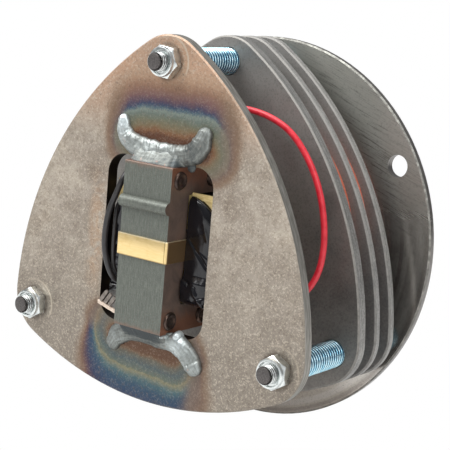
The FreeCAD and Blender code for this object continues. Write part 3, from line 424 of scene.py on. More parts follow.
@finish
def flame_tinted_steel():
    """Bare mottled plate with heat colours round both welds."""
    paint = Finish("flame_tinted_steel", metallic=0.7)
    x = paint.span("X")
    z = paint.span("Z")
    cloud = paint.noise(26, detail=5, rough=0.6, warp=0.4)
    base = paint.ramp(cloud, (0.30, rgb(132, 120, 108)), (0.44, rgb(160, 150, 138)),
                      (0.58, rgb(180, 170, 156)), (0.75, rgb(150, 135, 118)))
    patch = paint.noise(7, detail=4, rough=0.65, warp=0.8)
    base = paint.mix(paint.spread(patch, 0.38, 0.66, 0.0, 0.5), base, rgb(136, 124, 110))
    # painted shade: the plate darkens towards the bottom, where less of the key's light falls
    base = paint.mix(paint.spread(z, 40, -60, 0.0, 0.8), base, rgb(124, 116, 106))
    top = paint.times(paint.spread(z, 40, 70),
                     paint.spread(cloud, 0.3, 0.62, 0.75, 1.0))
    colour = paint.mix(top, base, rgb(184, 150, 125))
    beside = paint.calc("MULTIPLY",
                        paint.spread(paint.size(paint.calc("ADD", x, 34.0)), 6, 1),
                        paint.spread(paint.size(z), 36, 8, 0.0, 0.5))
    colour = paint.mix(paint.times(beside, paint.spread(patch, 0.35, 0.6)), colour,
                       rgb(178, 142, 110))
    fine = paint.noise(1.5, detail=4, rough=0.75)
    tinted = None
    for zone in (UPPER_HEAT, LOWER_HEAT):
        tint, strength = heat_tint(paint, zone)
        here = paint.times(z, zone["outward"])
        strength = paint.times(strength, paint.calc("GREATER_THAN", here, 0.0))
        colour = paint.mix(strength, colour, tint)
        tinted = strength if tinted is None else paint.calc("MAXIMUM", tinted, strength)
    clear = paint.spread(tinted, 0.0, 1.0, 1.0, 0.25)
    grain = paint.noise(0.9, detail=3, rough=0.8)
    colour = paint.mix(paint.times(clear, paint.spread(grain, 0.48, 0.7, 0.0, 0.6)),
                       colour, rgb(208, 197, 180))
    colour = paint.mix(paint.spread(fine, 0.5, 0.26, 0.0, 0.75), colour, rgb(92, 80, 70))
    dots = paint.spread(paint.noise(0.6, detail=2, rough=0.5), 0.68, 0.78, 0.0, 0.6)
    colour = paint.mix(paint.times(clear, dots), colour, rgb(226, 216, 200))
    marks = crossed_scratches(paint, 0.5, 30)
    colour = paint.mix(paint.times(paint.times(marks, clear), 0.22),
                       colour, rgb(214, 204, 190))
    for place in STUDS:
        low, high = limits(f"stud_{place}")
        dx = paint.calc("SUBTRACT", x, (low.x + high.x) / 2)
        dz = paint.calc("SUBTRACT", z, (low.z + high.z) / 2)
        reach = paint.reach(dx, dz)
        ring = paint.times(paint.spread(reach, 9.9, 10.5),
                          paint.spread(reach, 11.3, 10.8))
        ring = paint.times(ring, paint.spread(paint.calc("ADD", dx, dz), 3.0, 9.0))
        bare = paint.times(ring, paint.spread(cloud, 0.4, 0.55, 0.2, 0.75))
        colour = paint.mix(bare, colour, rgb(196, 184, 166))
        # painted shadow: the plate darkens close round each nut, where the nut shades it
        shade = paint.spread(reach, 9.0, 7.2, 0.0, 0.55)
        colour = paint.mix(shade, colour, rgb(72, 62, 54))
    rim = rim_of(paint)
    lines = paint.noise(0.5, detail=3, stretch=(14, 1, 14))
    rim_colour = paint.mix(paint.spread(lines, 0.35, 0.7), rgb(124, 121, 114), rgb(164, 161, 154))
    colour = paint.mix(rim, colour, rim_colour)
    # painted shade: the slot's inner walls, which face across the plate, are darkened almost black
    slot = paint.times(paint.calc("LESS_THAN", paint.size(x), 32),
                      paint.calc("LESS_THAN", paint.size(z), 39))
    facing_along = paint.faces("Y")
    slot_wall_shade = paint.times(slot, paint.spread(facing_along, 0.97, 0.9))
    colour = paint.mix(slot_wall_shade, colour, rgb(32, 25, 22))
    finish_edge(paint, colour, rgb(160, 153, 142), 0.3,
                paint.spread(patch, 0.3, 0.75, 0.38, 0.52))
    height = paint.calc("MULTIPLY_ADD", grain, 0.6, paint.times(marks, -0.5))
    paint.set("Normal", paint.bump(height, 0.06, 0.6))
    return paint


def broken_edge(paint):
    """1 on chamfers, whose surface faces neither along the axis nor straight out."""
    turn = paint.faces("Y")
    return paint.times(paint.spread(turn, 0.2, 0.4), paint.spread(turn, 0.95, 0.8))


def finish_edge(paint, colour, edge, amount, roughness):
    """Give chamfers their own worn colour and a duller surface than the rest."""
    slanted = broken_edge(paint)
    worn = paint.times(slanted, paint.spread(
        paint.noise(2.2, detail=4), 0.3, 0.65, 0.2 * amount, amount))
    paint.set("Base Color", paint.mix(worn, colour, edge))
    dull = paint.times(slanted, paint.calc("SUBTRACT", 0.62, roughness))
    paint.set("Roughness", paint.calc("ADD", roughness, dull))


def rim_of(paint):
    """1 where the surface faces away from the axis or towards it, 0 on the plate's faces."""
    return paint.calc("LESS_THAN", paint.faces("Y"), 0.3)


def crossed_scratches(paint, size, length):
    """Fine straight scratches in three directions, 0 to 1."""
    total = None
    for turn, shift in ((-24, 0.0), (38, 0.4), (81, 0.9)):
        at = paint.add("ShaderNodeMapping", Vector=paint.place,
                       Rotation=(0, math.radians(turn), 0), Location=(shift, shift, 0))
        lines = paint.spread(paint.noise(size, detail=2, stretch=(length, 1, 1), where=at),
                             0.60, 0.74)
        total = lines if total is None else paint.calc("MAXIMUM", total, lines)
    return total


def dark_plate(name, shade, warm, edge, metallic=0.7):
    """Blackish rolled plate: mottled faces, milled rim with lines along it, worn corners."""
    paint = Finish(name, metallic=metallic)
    cloud = paint.noise(18, detail=5, rough=0.62, warp=0.5)
    face = paint.ramp(cloud, (0.3, shade), (0.5, warm), (0.72, shade))
    z = paint.span("Z")
    # painted light: lighter towards the top, which the front plate doesn't shadow
    face = paint.mix(paint.spread(z, -15, 75, 0.0, 0.55), face, rgb(168, 166, 162))
    fine = paint.noise(0.9, detail=4, rough=0.75)
    face = paint.mix(paint.spread(fine, 0.45, 0.8, 0.0, 0.5), face, rgb(52, 49, 46))
    face = paint.mix(paint.spread(fine, 0.5, 0.28, 0.0, 0.35), face, rgb(150, 146, 140))
    lines = paint.noise(0.5, detail=3, stretch=(16, 1, 16))
    rim_colour = paint.mix(paint.spread(lines, 0.35, 0.7), rgb(126, 125, 122), rgb(170, 168, 164))
    rim_colour = paint.mix(paint.spread(fine, 0.5, 0.75, 0.0, 0.7), rim_colour,
                           rgb(196, 193, 187))
    rim_colour = paint.mix(paint.spread(fine, 0.48, 0.3, 0.0, 0.5), rim_colour, rgb(84, 82, 79))
    colour = paint.mix(rim_of(paint), face, rim_colour)
    finish_edge(paint, colour, edge, 0.6, paint.spread(cloud, 0.3, 0.7, 0.42, 0.56))
    paint.set("Normal", paint.bump(fine, 0.06, 0.6))
    return paint


@finish
def pressure_steel():
    """Steel of the pressure plate."""
    return dark_plate("pressure_steel", rgb(116, 113, 110), rgb(130, 126, 121),
                      rgb(152, 150, 144))


@finish
def thin_plate_steel():
    """Steel of the two thin plates."""
    return dark_plate("thin_plate_steel", rgb(104, 103, 101), rgb(118, 115, 112),
                      rgb(150, 148, 143), metallic=0.4)


@finish
def flange_steel():
    """Ground flange, shiny enough to mirror the plates before it, with their reflection also
    painted as bands low down, and painted light at its top, bottom and outer part; marks across its
    top.
    """
    paint = Finish("flange_steel", metallic=0.85)
    z = paint.span("Z")
    cloud = paint.noise(30, detail=4, rough=0.6, warp=0.3)
    face = paint.ramp(cloud, (0.32, rgb(140, 134, 128)), (0.5, rgb(162, 158, 153)),
                      (0.68, rgb(168, 163, 156)), (0.8, rgb(148, 140, 132)))
    # painted light: lighter towards the top, which the plates in front don't shadow, and warm beige
    # at the bottom, lit from the floor
    face = paint.mix(paint.spread(z, 10, 70, 0.0, 0.6), face, rgb(190, 194, 186))
    face = paint.mix(paint.spread(z, -52, -72, 0.0, 0.5), face, rgb(178, 162, 144))
    slant = paint.add("ShaderNodeMapping", Vector=paint.place,
                      Rotation=(0, math.radians(-20), 0))
    marks = paint.noise(0.55, detail=4, rough=0.65, stretch=(26, 1, 1), where=slant)
    upper = paint.spread(z, -5, 45, 0.12, 1.0)
    light = paint.times(upper, paint.spread(marks, 0.5, 0.66, 0.0, 0.7))
    dark = paint.times(upper, paint.spread(marks, 0.48, 0.34, 0.0, 0.65))
    face = paint.mix(light, face, rgb(184, 182, 176))
    face = paint.mix(dark, face, rgb(74, 72, 69))
    x = paint.span("X")
    radius = paint.reach(x, z)
    # painted reflection: light and dark bands by radius over the lower half stand in for the plates
    # mirrored in the flange
    bands = paint.add("ShaderNodeTexNoise", Vector=paint.add("ShaderNodeCombineXYZ", X=radius),
                      Scale=0.22, Detail=2.0)
    lower = paint.spread(z, 25, -5)
    face = paint.mix(paint.times(lower, paint.spread(bands, 0.5, 0.62, 0.0, 0.45)),
                     face, rgb(196, 190, 184))
    face = paint.mix(paint.times(lower, paint.spread(bands, 0.48, 0.38, 0.0, 0.5)),
                     face, rgb(96, 78, 74))
    # painted light: lighter beyond the plates' reach, most towards the top, where the plates cast
    # no shadow
    outside = paint.times(paint.spread(radius, 72, 88, 0.0, 0.5),
                         paint.spread(z, -10, 30, 0.35, 1.0))
    face = paint.mix(outside, face, rgb(206, 206, 198))
    fine = paint.noise(0.9, detail=4, rough=0.75)
    face = paint.mix(paint.spread(fine, 0.5, 0.78, 0.0, 0.4), face, rgb(196, 190, 180))
    face = paint.mix(paint.spread(fine, 0.48, 0.28, 0.0, 0.4), face, rgb(84, 79, 74))
    lines = paint.noise(0.5, detail=3, stretch=(18, 1, 18))
    rim_colour = paint.mix(paint.spread(lines, 0.35, 0.7), rgb(104, 101, 97), rgb(142, 138, 133))
    colour = paint.mix(rim_of(paint), face, rim_colour)
    roughness = paint.calc("ADD", paint.spread(marks, 0.3, 0.7, 0.12, 0.16),
                           paint.times(upper, 0.24))
    finish_edge(paint, colour, rgb(112, 110, 105), 0.9, roughness)
    paint.set("Normal", paint.bump(marks, 0.03, 0.4))
    return paint


@finish
def lamination_steel():
    """Sheet edges: grey-green on the front, rust-brown varnish on the outer sheets' faces."""
    paint = Finish("lamination_steel", metallic=0.45)
    x = paint.span("X")
    z = paint.span("Z")
    sheet = paint.dice(paint.calc("DIVIDE", x, SHEET))
    streak = paint.noise(0.5, detail=4, rough=0.7, stretch=(1, 1, 9))
    fine = paint.noise(0.8, detail=4, rough=0.75)
    front = paint.ramp(streak, (0.3, rgb(80, 84, 78)), (0.5, rgb(98, 102, 95)),
                       (0.72, rgb(116, 120, 112)))
    front = paint.mix(paint.spread(fine, 0.48, 0.3, 0.0, 0.5), front, rgb(66, 68, 62))
    front = paint.mix(paint.times(sheet, 0.12), front, rgb(92, 95, 88))
    front = paint.mix(paint.spread(fine, 0.5, 0.75, 0.0, 0.3), front, rgb(158, 160, 150))
    level = paint.calc("ADD", paint.size(z),
                       paint.times(paint.noise(4, detail=3), 4.0))
    front = paint.mix(paint.spread(level, 35.8, 38.4, 0.0, 0.6), front, rgb(132, 100, 84))
    cloud = paint.noise(9, detail=5, rough=0.65, warp=0.6)
    side = paint.ramp(cloud, (0.3, rgb(88, 76, 70)), (0.55, rgb(112, 94, 84)),
                      (0.78, rgb(130, 103, 88)))
    hot = paint.calc("ADD", paint.size(z), paint.times(cloud, 14.0))
    side = paint.mix(paint.spread(hot, 31, 41, 0.0, 0.8), side, rgb(128, 82, 58))
    facing_out = paint.faces("X")
    colour = paint.mix(paint.spread(facing_out, 0.6, 0.9), front, side)
    upward = paint.spread(paint.faces("Z"), 0.7, 0.95)
    end = paint.times(upward, paint.calc("GREATER_THAN", paint.calc(
        "ABSOLUTE", z), CORE_HALF_HEIGHT - 0.8))
    paint.set("Base Color", paint.mix(end, colour, rgb(146, 110, 96)))
    paint.set("Roughness", paint.spread(fine, 0.3, 0.7, 0.4, 0.55))
    paint.set("Normal", paint.bump(streak, 0.02, 0.4))
    return paint


@finish
def weld_metal():
    """Weld bead: silver where it froze last, grey slag in between; flow is (s, across, tone)."""
    paint = Finish("weld_metal", metallic=0.65)
    flow = paint.attribute("flow")
    along_bead, across = paint.axis(flow, "X"), paint.axis(flow, "Y")
    bent = paint.calc("MULTIPLY_ADD", paint.times(across, across), 2.2, along_bead)
    ripples = paint.add("ShaderNodeCombineXYZ", X=bent,
                        Y=paint.times(across, 1.3))
    ripple = paint.add("ShaderNodeTexNoise", Vector=ripples, Scale=1.1, Detail=4.0,
                       Roughness=0.6)
    runs = paint.add("ShaderNodeCombineXYZ", X=paint.times(along_bead, 0.16),
                     Y=paint.times(across, 4.5))
    streak = paint.add("ShaderNodeTexNoise", Vector=runs, Scale=1.0, Detail=4.0, Roughness=0.6)
    cloud = paint.noise(4.5, detail=5, rough=0.65, warp=0.8)
    tone = paint.calc("ADD", paint.axis(flow, "Z"), paint.times(cloud, 0.4))
    tone = paint.calc("MULTIPLY_ADD", paint.calc("SUBTRACT", streak, 0.5), 0.7, tone)
    tone = paint.calc("MULTIPLY_ADD", paint.calc("SUBTRACT", ripple, 0.5), 0.4, tone)
    colour = paint.ramp(paint.times(tone, 0.75),
                        (0.2, rgb(66, 72, 74)), (0.42, rgb(116, 119, 115)),
                        (0.66, rgb(158, 164, 162)), (0.96, rgb(218, 228, 230)))
    rose = paint.spread(paint.noise(3.2, detail=2, where=paint.vector(
        "ADD", paint.place, (0.5, 0.1, 0.3))), 0.66, 0.76, 0.0, 0.4)
    skirt = paint.spread(paint.size(across), 0.82, 0.99, 0.0, 0.55)
    colour = paint.mix(rose, colour, rgb(190, 146, 130))
    paint.set("Base Color", paint.mix(skirt, colour, rgb(70, 62, 56)))
    paint.set("Roughness", paint.spread(tone, 0.4, 1.2, 0.52, 0.4))
    height = paint.calc("MULTIPLY_ADD", streak, 0.7, ripple)
    paint.set("Normal", paint.bump(height, 0.2, 0.6))
    return paint


def plated(name, dark, light, roughness):
    """Zinc plate, slightly uneven, with fine handling marks."""
    paint = Finish(name, metallic=1.0)
    cloud = paint.noise(3.5, detail=4, rough=0.6, warp=0.6)
    colour = paint.ramp(cloud, (0.3, dark), (0.6, light), (0.8, dark))
    scratch = paint.noise(0.25, detail=2, stretch=(6, 1, 1))
    paint.set("Base Color", paint.mix(paint.spread(scratch, 0.6, 0.75, 0.0, 0.3), colour,
                                      rgb(110, 116, 120)))
    paint.set("Roughness", paint.spread(cloud, 0.3, 0.7, roughness, roughness + 0.12))
    paint.set("Normal", paint.bump(cloud, 0.05, 0.5))
    return paint


@finish
def zinc():
    """Zinc of the nuts, and one of the finishes on the studs."""
    return plated("zinc", rgb(182, 188, 188), rgb(226, 230, 228), 0.26)


@finish
def blue_zinc():
    """Blue zinc, the main finish of the studs."""
    return plated("blue_zinc", rgb(142, 204, 228), rgb(204, 234, 242), 0.24)


@finish
def deep_blue_zinc():
    """Thread roots, where the blue passivation is thick and little light gets in."""
    paint = Finish("deep_blue_zinc", metallic=0.5, roughness=0.4)
    cloud = paint.noise(3.5, detail=3)
    paint.set("Base Color", paint.ramp(cloud, (0.3, rgb(8, 54, 86)), (0.7, rgb(28, 98, 134))))
    return paint


@finish
def cut_steel():
    """Sawn end of a stud, also the painted shade in the rows of its reduced end's thread."""
    paint = Finish("cut_steel", metallic=0.8, roughness=0.5)
    fine = paint.noise(0.7, detail=4, rough=0.7)
    return paint.coat(paint.ramp(fine, (0.3, rgb(70, 67, 66)), (0.7, rgb(112, 108, 106))),
                      relief=fine, depth=0.08, strength=0.6)


@finish
def plain_steel():
    """Oiled steel of brackets, pins and rivets."""
    paint = Finish("plain_steel", metallic=0.85)
    cloud = paint.noise(6, detail=5, rough=0.6)
    fine = paint.noise(0.6, detail=3, rough=0.7)
    colour = paint.ramp(cloud, (0.3, rgb(86, 82, 79)), (0.7, rgb(128, 123, 118)))
    paint.set("Base Color", paint.mix(paint.spread(fine, 0.5, 0.8, 0.0, 0.4), colour,
                                      rgb(58, 54, 52)))
    paint.set("Roughness", paint.spread(cloud, 0.3, 0.7, 0.32, 0.48))
    paint.set("Normal", paint.bump(fine, 0.05, 0.5))
    return paint


@finish
def rivet_metal():
    """Browned rivet heads."""
    paint = Finish("rivet_metal", metallic=0.75, roughness=0.3)
    cloud = paint.noise(2.5, detail=4, rough=0.65)
    paint.set("Base Color", paint.ramp(cloud, (0.3, rgb(54, 46, 43)), (0.55, rgb(82, 68, 61)),
                                       (0.75, rgb(118, 92, 78))))
    paint.set("Normal", paint.bump(cloud, 0.05, 0.5))
    return paint


@finish
def hub_steel():
    """Machined hub with turned lines round the axis."""
    paint = Finish("hub_steel", metallic=0.95)
    lines = paint.noise(0.35, detail=3, stretch=(30, 1, 30))
    colour = paint.ramp(lines, (0.3, rgb(112, 112, 112)), (0.7, rgb(160, 159, 157)))
    return paint.coat(colour, paint.spread(lines, 0.3, 0.7, 0.28, 0.42), lines, 0.04, 0.6)


@finish
def spring_steel():
    """Spring wire."""
    paint = Finish("spring_steel", metallic=0.9)
    cloud = paint.noise(2.2, detail=4, rough=0.6)
    return paint.coat(paint.ramp(cloud, (0.3, rgb(70, 71, 74)), (0.7, rgb(116, 117, 120))),
                      paint.spread(cloud, 0.3, 0.7, 0.26, 0.4), cloud, 0.03, 0.4)


@finish
def bare_copper():
    """Copper of the shading rings."""
    paint = Finish("bare_copper", metallic=1.0)
    cloud = paint.noise(3, detail=4, rough=0.6)
    return paint.coat(paint.ramp(cloud, (0.3, rgb(156, 92, 66)), (0.7, rgb(204, 134, 100))),
                      paint.spread(cloud, 0.3, 0.7, 0.28, 0.42))


@finish
def rolled_brass():
    """Bright satin strip, with a painted highlight along its top edge and painted shade along its
    lower edge; the sides that run back into the coil are browner as painted shade.
    """
    paint = Finish("rolled_brass", metallic=0.8)
    grain = paint.noise(0.5, detail=3, rough=0.6, stretch=(9, 9, 1))
    cloud = paint.noise(4.5, detail=4, rough=0.6)
    bright = paint.ramp(grain, (0.3, rgb(226, 198, 138)), (0.7, rgb(236, 211, 156)))
    bright = paint.mix(paint.spread(cloud, 0.55, 0.75, 0.0, 0.35), bright, rgb(206, 168, 96))
    x = paint.span("X")
    z = paint.span("Z")
    mark = paint.spread(paint.size(paint.calc("SUBTRACT", x, 12.6)), 0.3, 0.1)
    bright = paint.mix(paint.times(mark, 0.6), bright, rgb(128, 92, 48))
    # painted highlight along the strip's top edge, and painted shade along its lower edge
    bright = paint.mix(paint.spread(z, 4.2, 4.5, 0.0, 0.6), bright, rgb(255, 244, 214))
    bright = paint.mix(paint.spread(z, -4.2, -4.5, 0.0, 0.6), bright, rgb(120, 86, 44))
    # painted shade: the sides facing across X, which run back into the coil, are browner
    outer = paint.spread(paint.faces("X"), 0.75, 0.98)
    paint.set("Base Color", paint.mix(outer, bright, rgb(142, 114, 80)))
    paint.set("Roughness", paint.spread(grain, 0.3, 0.7, 0.3, 0.42))
    paint.set("Normal", paint.bump(grain, 0.03, 0.5))
    return paint


# ------------------------------------------------------------------ soft finishes
@finish
def glossy_tape():
    """Black film tape, glossy, with small wrinkles across it."""
    paint = Finish("glossy_tape", ior=1.5)
    wrinkle = paint.noise(3.4, detail=3, rough=0.5, warp=1.2, stretch=(1, 1, 2.0))
    fine = paint.noise(0.6, detail=3, rough=0.6)
    paint.set("Base Color", paint.ramp(wrinkle, (0.3, rgb(8, 8, 11)), (0.7, rgb(17, 17, 23))))
    paint.set("Roughness", paint.spread(fine, 0.3, 0.7, 0.13, 0.2))
    paint.set("Normal", paint.bump(fine, 0.01, 0.3,
                                   below=paint.bump(wrinkle, 0.1, 0.5)))
    return paint


@finish
def straw_paper():
    """Pressed insulation card of the bobbin."""
    paint = Finish("straw_paper", metallic=0.0)
    fibre = paint.noise(0.5, detail=4, rough=0.7, stretch=(5, 1, 1))
    paint.set("Base Color", paint.ramp(fibre, (0.3, rgb(206, 178, 112)),
                                       (0.7, rgb(236, 214, 156))))
    paint.set("Roughness", paint.spread(fibre, 0.3, 0.7, 0.45, 0.62))
    paint.set("Normal", paint.bump(fibre, 0.05, 0.5))
    return paint


def wire_skin(name, dark, light):
    """PVC insulation: satin, with faint extrusion unevenness."""
    paint = Finish(name, coat_weight=0.25, coat_roughness=0.25)
    cloud = paint.noise(3.4, detail=4, rough=0.6)
    paint.set("Base Color", paint.ramp(cloud, (0.3, dark), (0.7, light)))
    paint.set("Roughness", paint.spread(cloud, 0.3, 0.7, 0.36, 0.5))
    paint.set("Normal", paint.bump(paint.noise(0.7, detail=3), 0.04, 0.5))
    return paint


@finish
def red_insulation():
    return wire_skin("red_insulation", rgb(196, 26, 44), rgb(226, 52, 66))


@finish
def black_insulation():
    return wire_skin("black_insulation", rgb(22, 21, 22), rgb(44, 42, 43))


@finish
def terminal_board():
    """Board of the terminal comb."""
    paint = Finish("terminal_board", roughness=0.6)
    cloud = paint.noise(1.5, detail=4, rough=0.6)
    return paint.coat(paint.ramp(cloud, (0.3, rgb(188, 170, 154)), (0.7, rgb(216, 200, 184))),
                      relief=cloud)


@finish
def terminal_tag():
    """Metal tags of the terminal comb."""
    paint = Finish("terminal_tag", metallic=0.5, roughness=0.45)
    cloud = paint.noise(1.5, detail=4, rough=0.6)
    return paint.coat(paint.ramp(cloud, (0.3, rgb(96, 88, 82)), (0.7, rgb(142, 134, 126))),
                      relief=cloud)


def lining(name, painted_shade):
    """Orange-red moulded lining with brass chips and fibres, more or less darkened by painted
    shade.
    """
    paint = Finish(name, metallic=0.0)
    fibre = paint.noise(0.8, detail=5, rough=0.75, warp=0.6)
    colour = paint.ramp(fibre, (0.3, rgb(160, 74, 54)), (0.55, rgb(200, 108, 84)),
                        (0.75, rgb(222, 140, 110)))
    chips = paint.spread(paint.cells(1.1), 0.16, 0.08, 0.0, 0.5)
    colour = paint.mix(chips, colour, rgb(208, 160, 96))
    # painted shade: darkens the lining towards near black by the given amount
    paint.set("Base Color", paint.mix(painted_shade, colour, rgb(40, 33, 30)))
    paint.set("Roughness", paint.spread(fibre, 0.3, 0.7, 0.6, 0.8))
    paint.set("Normal", paint.bump(fibre, 0.12, 0.6))
    return paint


@finish
def friction_lining():
    return lining("friction_lining", 0.0)


# the rear disc's linings, deep between the plates: painted shade darkens them almost black
@finish
def shadowed_lining():
    return lining("shadowed_lining", 0.85)


# ------------------------------------------------------------------ mesh tools
def face_outward(mesh):
    """Turn every shell's faces so that their normals point away from the material."""
    shell = bmesh.new()
    shell.from_mesh(mesh)
    bmesh.ops.recalc_face_normals(shell, faces=shell.faces)
    shell.to_mesh(mesh)
    shell.free()


def new_piece(name, vertices, faces, materials, sharp=35, indices=None, flow=None):
    """A mesh object from points in millimetres; materials come by face index.

    flow is a vector kept with each point, for a material that follows the piece's length.
    """
    mesh = bpy.data.meshes.new(name)
    mesh.from_pydata([Vector(v) * MM for v in vertices], [], faces)
    face_outward(mesh)
    for material in materials:
        mesh.materials.append(material)
    if indices is not None:
        mesh.polygons.foreach_set("material_index", indices)
    if flow is not None:
        kept = mesh.attributes.new("flow", "FLOAT_VECTOR", "POINT")
        kept.data.foreach_set("vector", [number for point in flow for number in point])
    mesh.polygons.foreach_set("use_smooth", [True] * len(mesh.polygons))
    mesh.set_sharp_from_angle(angle=math.radians(sharp))
    piece = bpy.data.objects.new(name, mesh)
    bpy.context.scene.collection.objects.link(piece)
    return piece


def settle(piece, slot, *nodes):
    """The piece stands for CAD nodes and rides on their body; slot is not used."""
    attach(piece, BODY_OF[nodes[0]] if nodes else "root")
    if nodes:
        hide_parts(*nodes)
    return piece


def skin(rings, closed=True, caps=True, joined=False):
    """Faces over rings of equal length, each ring a closed loop when closed is true.

    When joined is true the last ring meets the first, which leaves a window through the piece.
    """
    count = len(rings[0])
    vertices = [p for ring in rings for p in ring]
    faces = []
    for i in range(len(rings) if joined else len(rings) - 1):
        for j in range(count if closed else count - 1):
            k = (j + 1) % count
            a, b = i * count, (i + 1) % len(rings) * count
            faces.append((a + j, a + k, b + k, b + j))
    if caps:
        faces.append(tuple(reversed(range(count))))
        faces.append(tuple(range(len(vertices) - count, len(vertices))))
    return vertices, faces


class Heap:
    """Points and faces of several shells gathered into one piece."""

    def __init__(self):
        self.vertices, self.faces, self.indices = [], [], []

    def add(self, shell, material=0, turn=None):
        """Add a shell; material is one index, or one for each face."""
        vertices, faces = shell
        first = len(self.vertices)
        if turn is not None:
            vertices = [turn @ Vector(v) for v in vertices]
        self.vertices += [tuple(v) for v in vertices]
        self.faces += [tuple(first + i for i in face) for face in faces]
        self.indices += material if isinstance(material, list) else [material] * len(faces)

    def piece(self, name, *materials, sharp=35, flow=None):
        return new_piece(name, self.vertices, self.faces, materials, sharp, self.indices, flow)


def lathe(profile, centre=(0, 0), steps=64):
    """Shell of (radius, y) points turned about a line along Y through centre (x, z)."""
    rings = []
    for radius, y in profile:
        angles = [2 * math.pi * j / steps for j in range(steps)]
        rings.append([(centre[0] + radius * math.cos(a), y, centre[1] + radius * math.sin(a))
                      for a in angles])
    return skin(rings)


def tube(points, radius, steps=16, wave=None):
    """Shell of a round bar along points; wave(i, angle) scales its radius."""
    rings = []
    count = len(points)
    side = None
    for i, point in enumerate(points):
        ahead = points[min(i + 1, count - 1)] - points[max(i - 1, 0)]
        ahead.normalize()
        if side is None:
            side = ahead.orthogonal()
        side = side - ahead * side.dot(ahead)
        side.normalize()
        other = ahead.cross(side)
        ring = []
        for j in range(steps):
            a = 2 * math.pi * j / steps
            r = radius * (wave(i, a) if wave else 1)
            ring.append(point + (side * math.cos(a) + other * math.sin(a)) * r)
        rings.append(ring)
    return skin(rings)


# ------------------------------------------------------------------ studs and nuts
# One turn of thread as (share of the pitch, how deep it is cut from 0 to 1).
THREAD_FORM = ((0.00, 0.0), (0.08, 0.0), (0.16, 0.16), (0.36, 0.84), (0.44, 1.0),
               (0.52, 1.0), (0.58, 0.9), (0.80, 0.3), (0.88, 0.1), (0.94, 0.0))
THREAD_SHADE = (2, 3, 4, 5, 6)  # the rows of THREAD_FORM whose faces are painted darker, in the blue of thick passivation: painted shade in the roots and on the flanks
THREAD_DEPTH = 0.58  # share of the pitch


def thread(radius, pitch, start, end, centre, steps=48):
    """Shell of a screw thread between two levels along Y, and a mark for each face's place."""
    rows_per_turn = len(THREAD_FORM)
    turns = int((end - start) / pitch) + 2
    vertices = []
    for row in range(turns * rows_per_turn + 1):
        share, sunk = THREAD_FORM[row % rows_per_turn]
        level = row // rows_per_turn + share - 1
        r = radius - sunk * THREAD_DEPTH * pitch
        for j in range(steps):
            a = 2 * math.pi * j / steps
            y = min(max(start + (level + j / steps) * pitch, start), end)
            vertices.append((centre[0] + r * math.cos(a), y, centre[1] + r * math.sin(a)))
    faces, marks = [], []
    for row in range((turns - 1) * rows_per_turn):
        for j in range(steps):
            here, ahead = row * steps + j, row * steps + j + 1
            if j == steps - 1:
                ahead = (row + rows_per_turn) * steps
            faces.append((here, here + steps, ahead + steps, ahead))
            marks.append(1 if row % rows_per_turn in THREAD_SHADE else 0)
    return (vertices, faces), marks


STUD_TIP_CHAMFER = 0.8
STUD_TIP_PROUD = 0.6  # beyond the CAD stud
STUD_CORE_INSET = 1.1
NUT_FLATS = 13.0
NUT_HEX_HEIGHT = 4.0
NUT_COLLAR_RADIUS = 6.35
NUT_COLLAR_PROUD = 0.8  # beyond the CAD nut


def nut_shell(centre, face, top, tilt):
    """Hexagon with turned corners and a round collar above it."""
    steps = 96
    hex_top = face - NUT_HEX_HEIGHT
    turned = NUT_FLATS / 2 - 0.1

    def ring(shape):
        points = []
        for j in range(steps):
            a = 2 * math.pi * j / steps
            flat = (a - tilt + math.pi / 6) % (math.pi / 3) - math.pi / 6
            reach = NUT_FLATS / 2 / math.cos(flat)
            r, y = shape(reach)
            points.append((centre[0] + r * math.cos(a), y, centre[1] + r * math.sin(a)))
        return points

    slope = math.tan(math.radians(38))
    rings = [
        ring(lambda reach: (min(reach, turned + 0.4), face)),
        ring(lambda reach: (reach, face - max(0, reach - turned) * 0.3)),
        ring(lambda reach: (reach, hex_top + max(0, reach - turned) * slope)),
        ring(lambda reach: (min(reach, turned), hex_top))]
    collar = NUT_COLLAR_RADIUS
    for r, y in ((collar + 0.1, hex_top - 0.15), (collar, hex_top - 0.3), (collar, top + 0.5),
                 (collar - 0.15, top + 0.15), (collar - 0.5, top), (5.35, top),
                 (5.15, top + 0.3), (5.1, top + 0.9), (4.55, top + 0.9), (4.5, top + 0.2),
                 (4.1, top + 0.2), (4.0, top + 0.7)):
        rings.append(ring(lambda reach, r=r, y=y: (r, y)))
    return skin(rings)


def make_stud(place, tilt):
    """Threaded stud with its reduced end, and the lock nut on it."""
    low, high = limits(f"stud_{place}")
    middle = (low + high) / 2
    centre = (middle.x, middle.z)
    radius = (high.x - low.x) / 2
    stud = Heap()
    # the thread's shaded rows take deep_blue_zinc as painted shade
    stud.add(*thread(radius, 1.75, FRONT_BACK, high.y, centre))
    core = radius - STUD_CORE_INSET
    stud.add(lathe([(core, FRONT_BACK + 0.02), (core, high.y - 0.02)], centre))
    end = low.y - STUD_TIP_PROUD
    shoulder = end + STUD_TIP_CHAMFER
    tip, marks = thread(4.0, 1.25, shoulder, FRONT_FACE, centre)
    # the reduced end's thread: zinc, with its shaded rows in the darker cut steel as painted shade
    stud.add(tip, [2 + mark for mark in marks])
    stud.add(lathe([(3.25, FRONT_FACE), (3.4, shoulder), (3.2, end + 0.12), (2.9, end),
                    (0.4, end + 0.08)], centre), 3)
    piece = stud.piece(f"thread_{place}", blue_zinc(), deep_blue_zinc(), zinc(), cut_steel(),
                       sharp=50)
    settle(piece, "blue_zinc", f"stud_{place}")
    heap = Heap()
    top = limits(f"lock_nut_{place}")[0].y - NUT_COLLAR_PROUD
    heap.add(nut_shell(centre, FRONT_FACE, top, tilt))
    settle(heap.piece(f"nut_{place}", zinc()), "zinc", f"lock_nut_{place}")


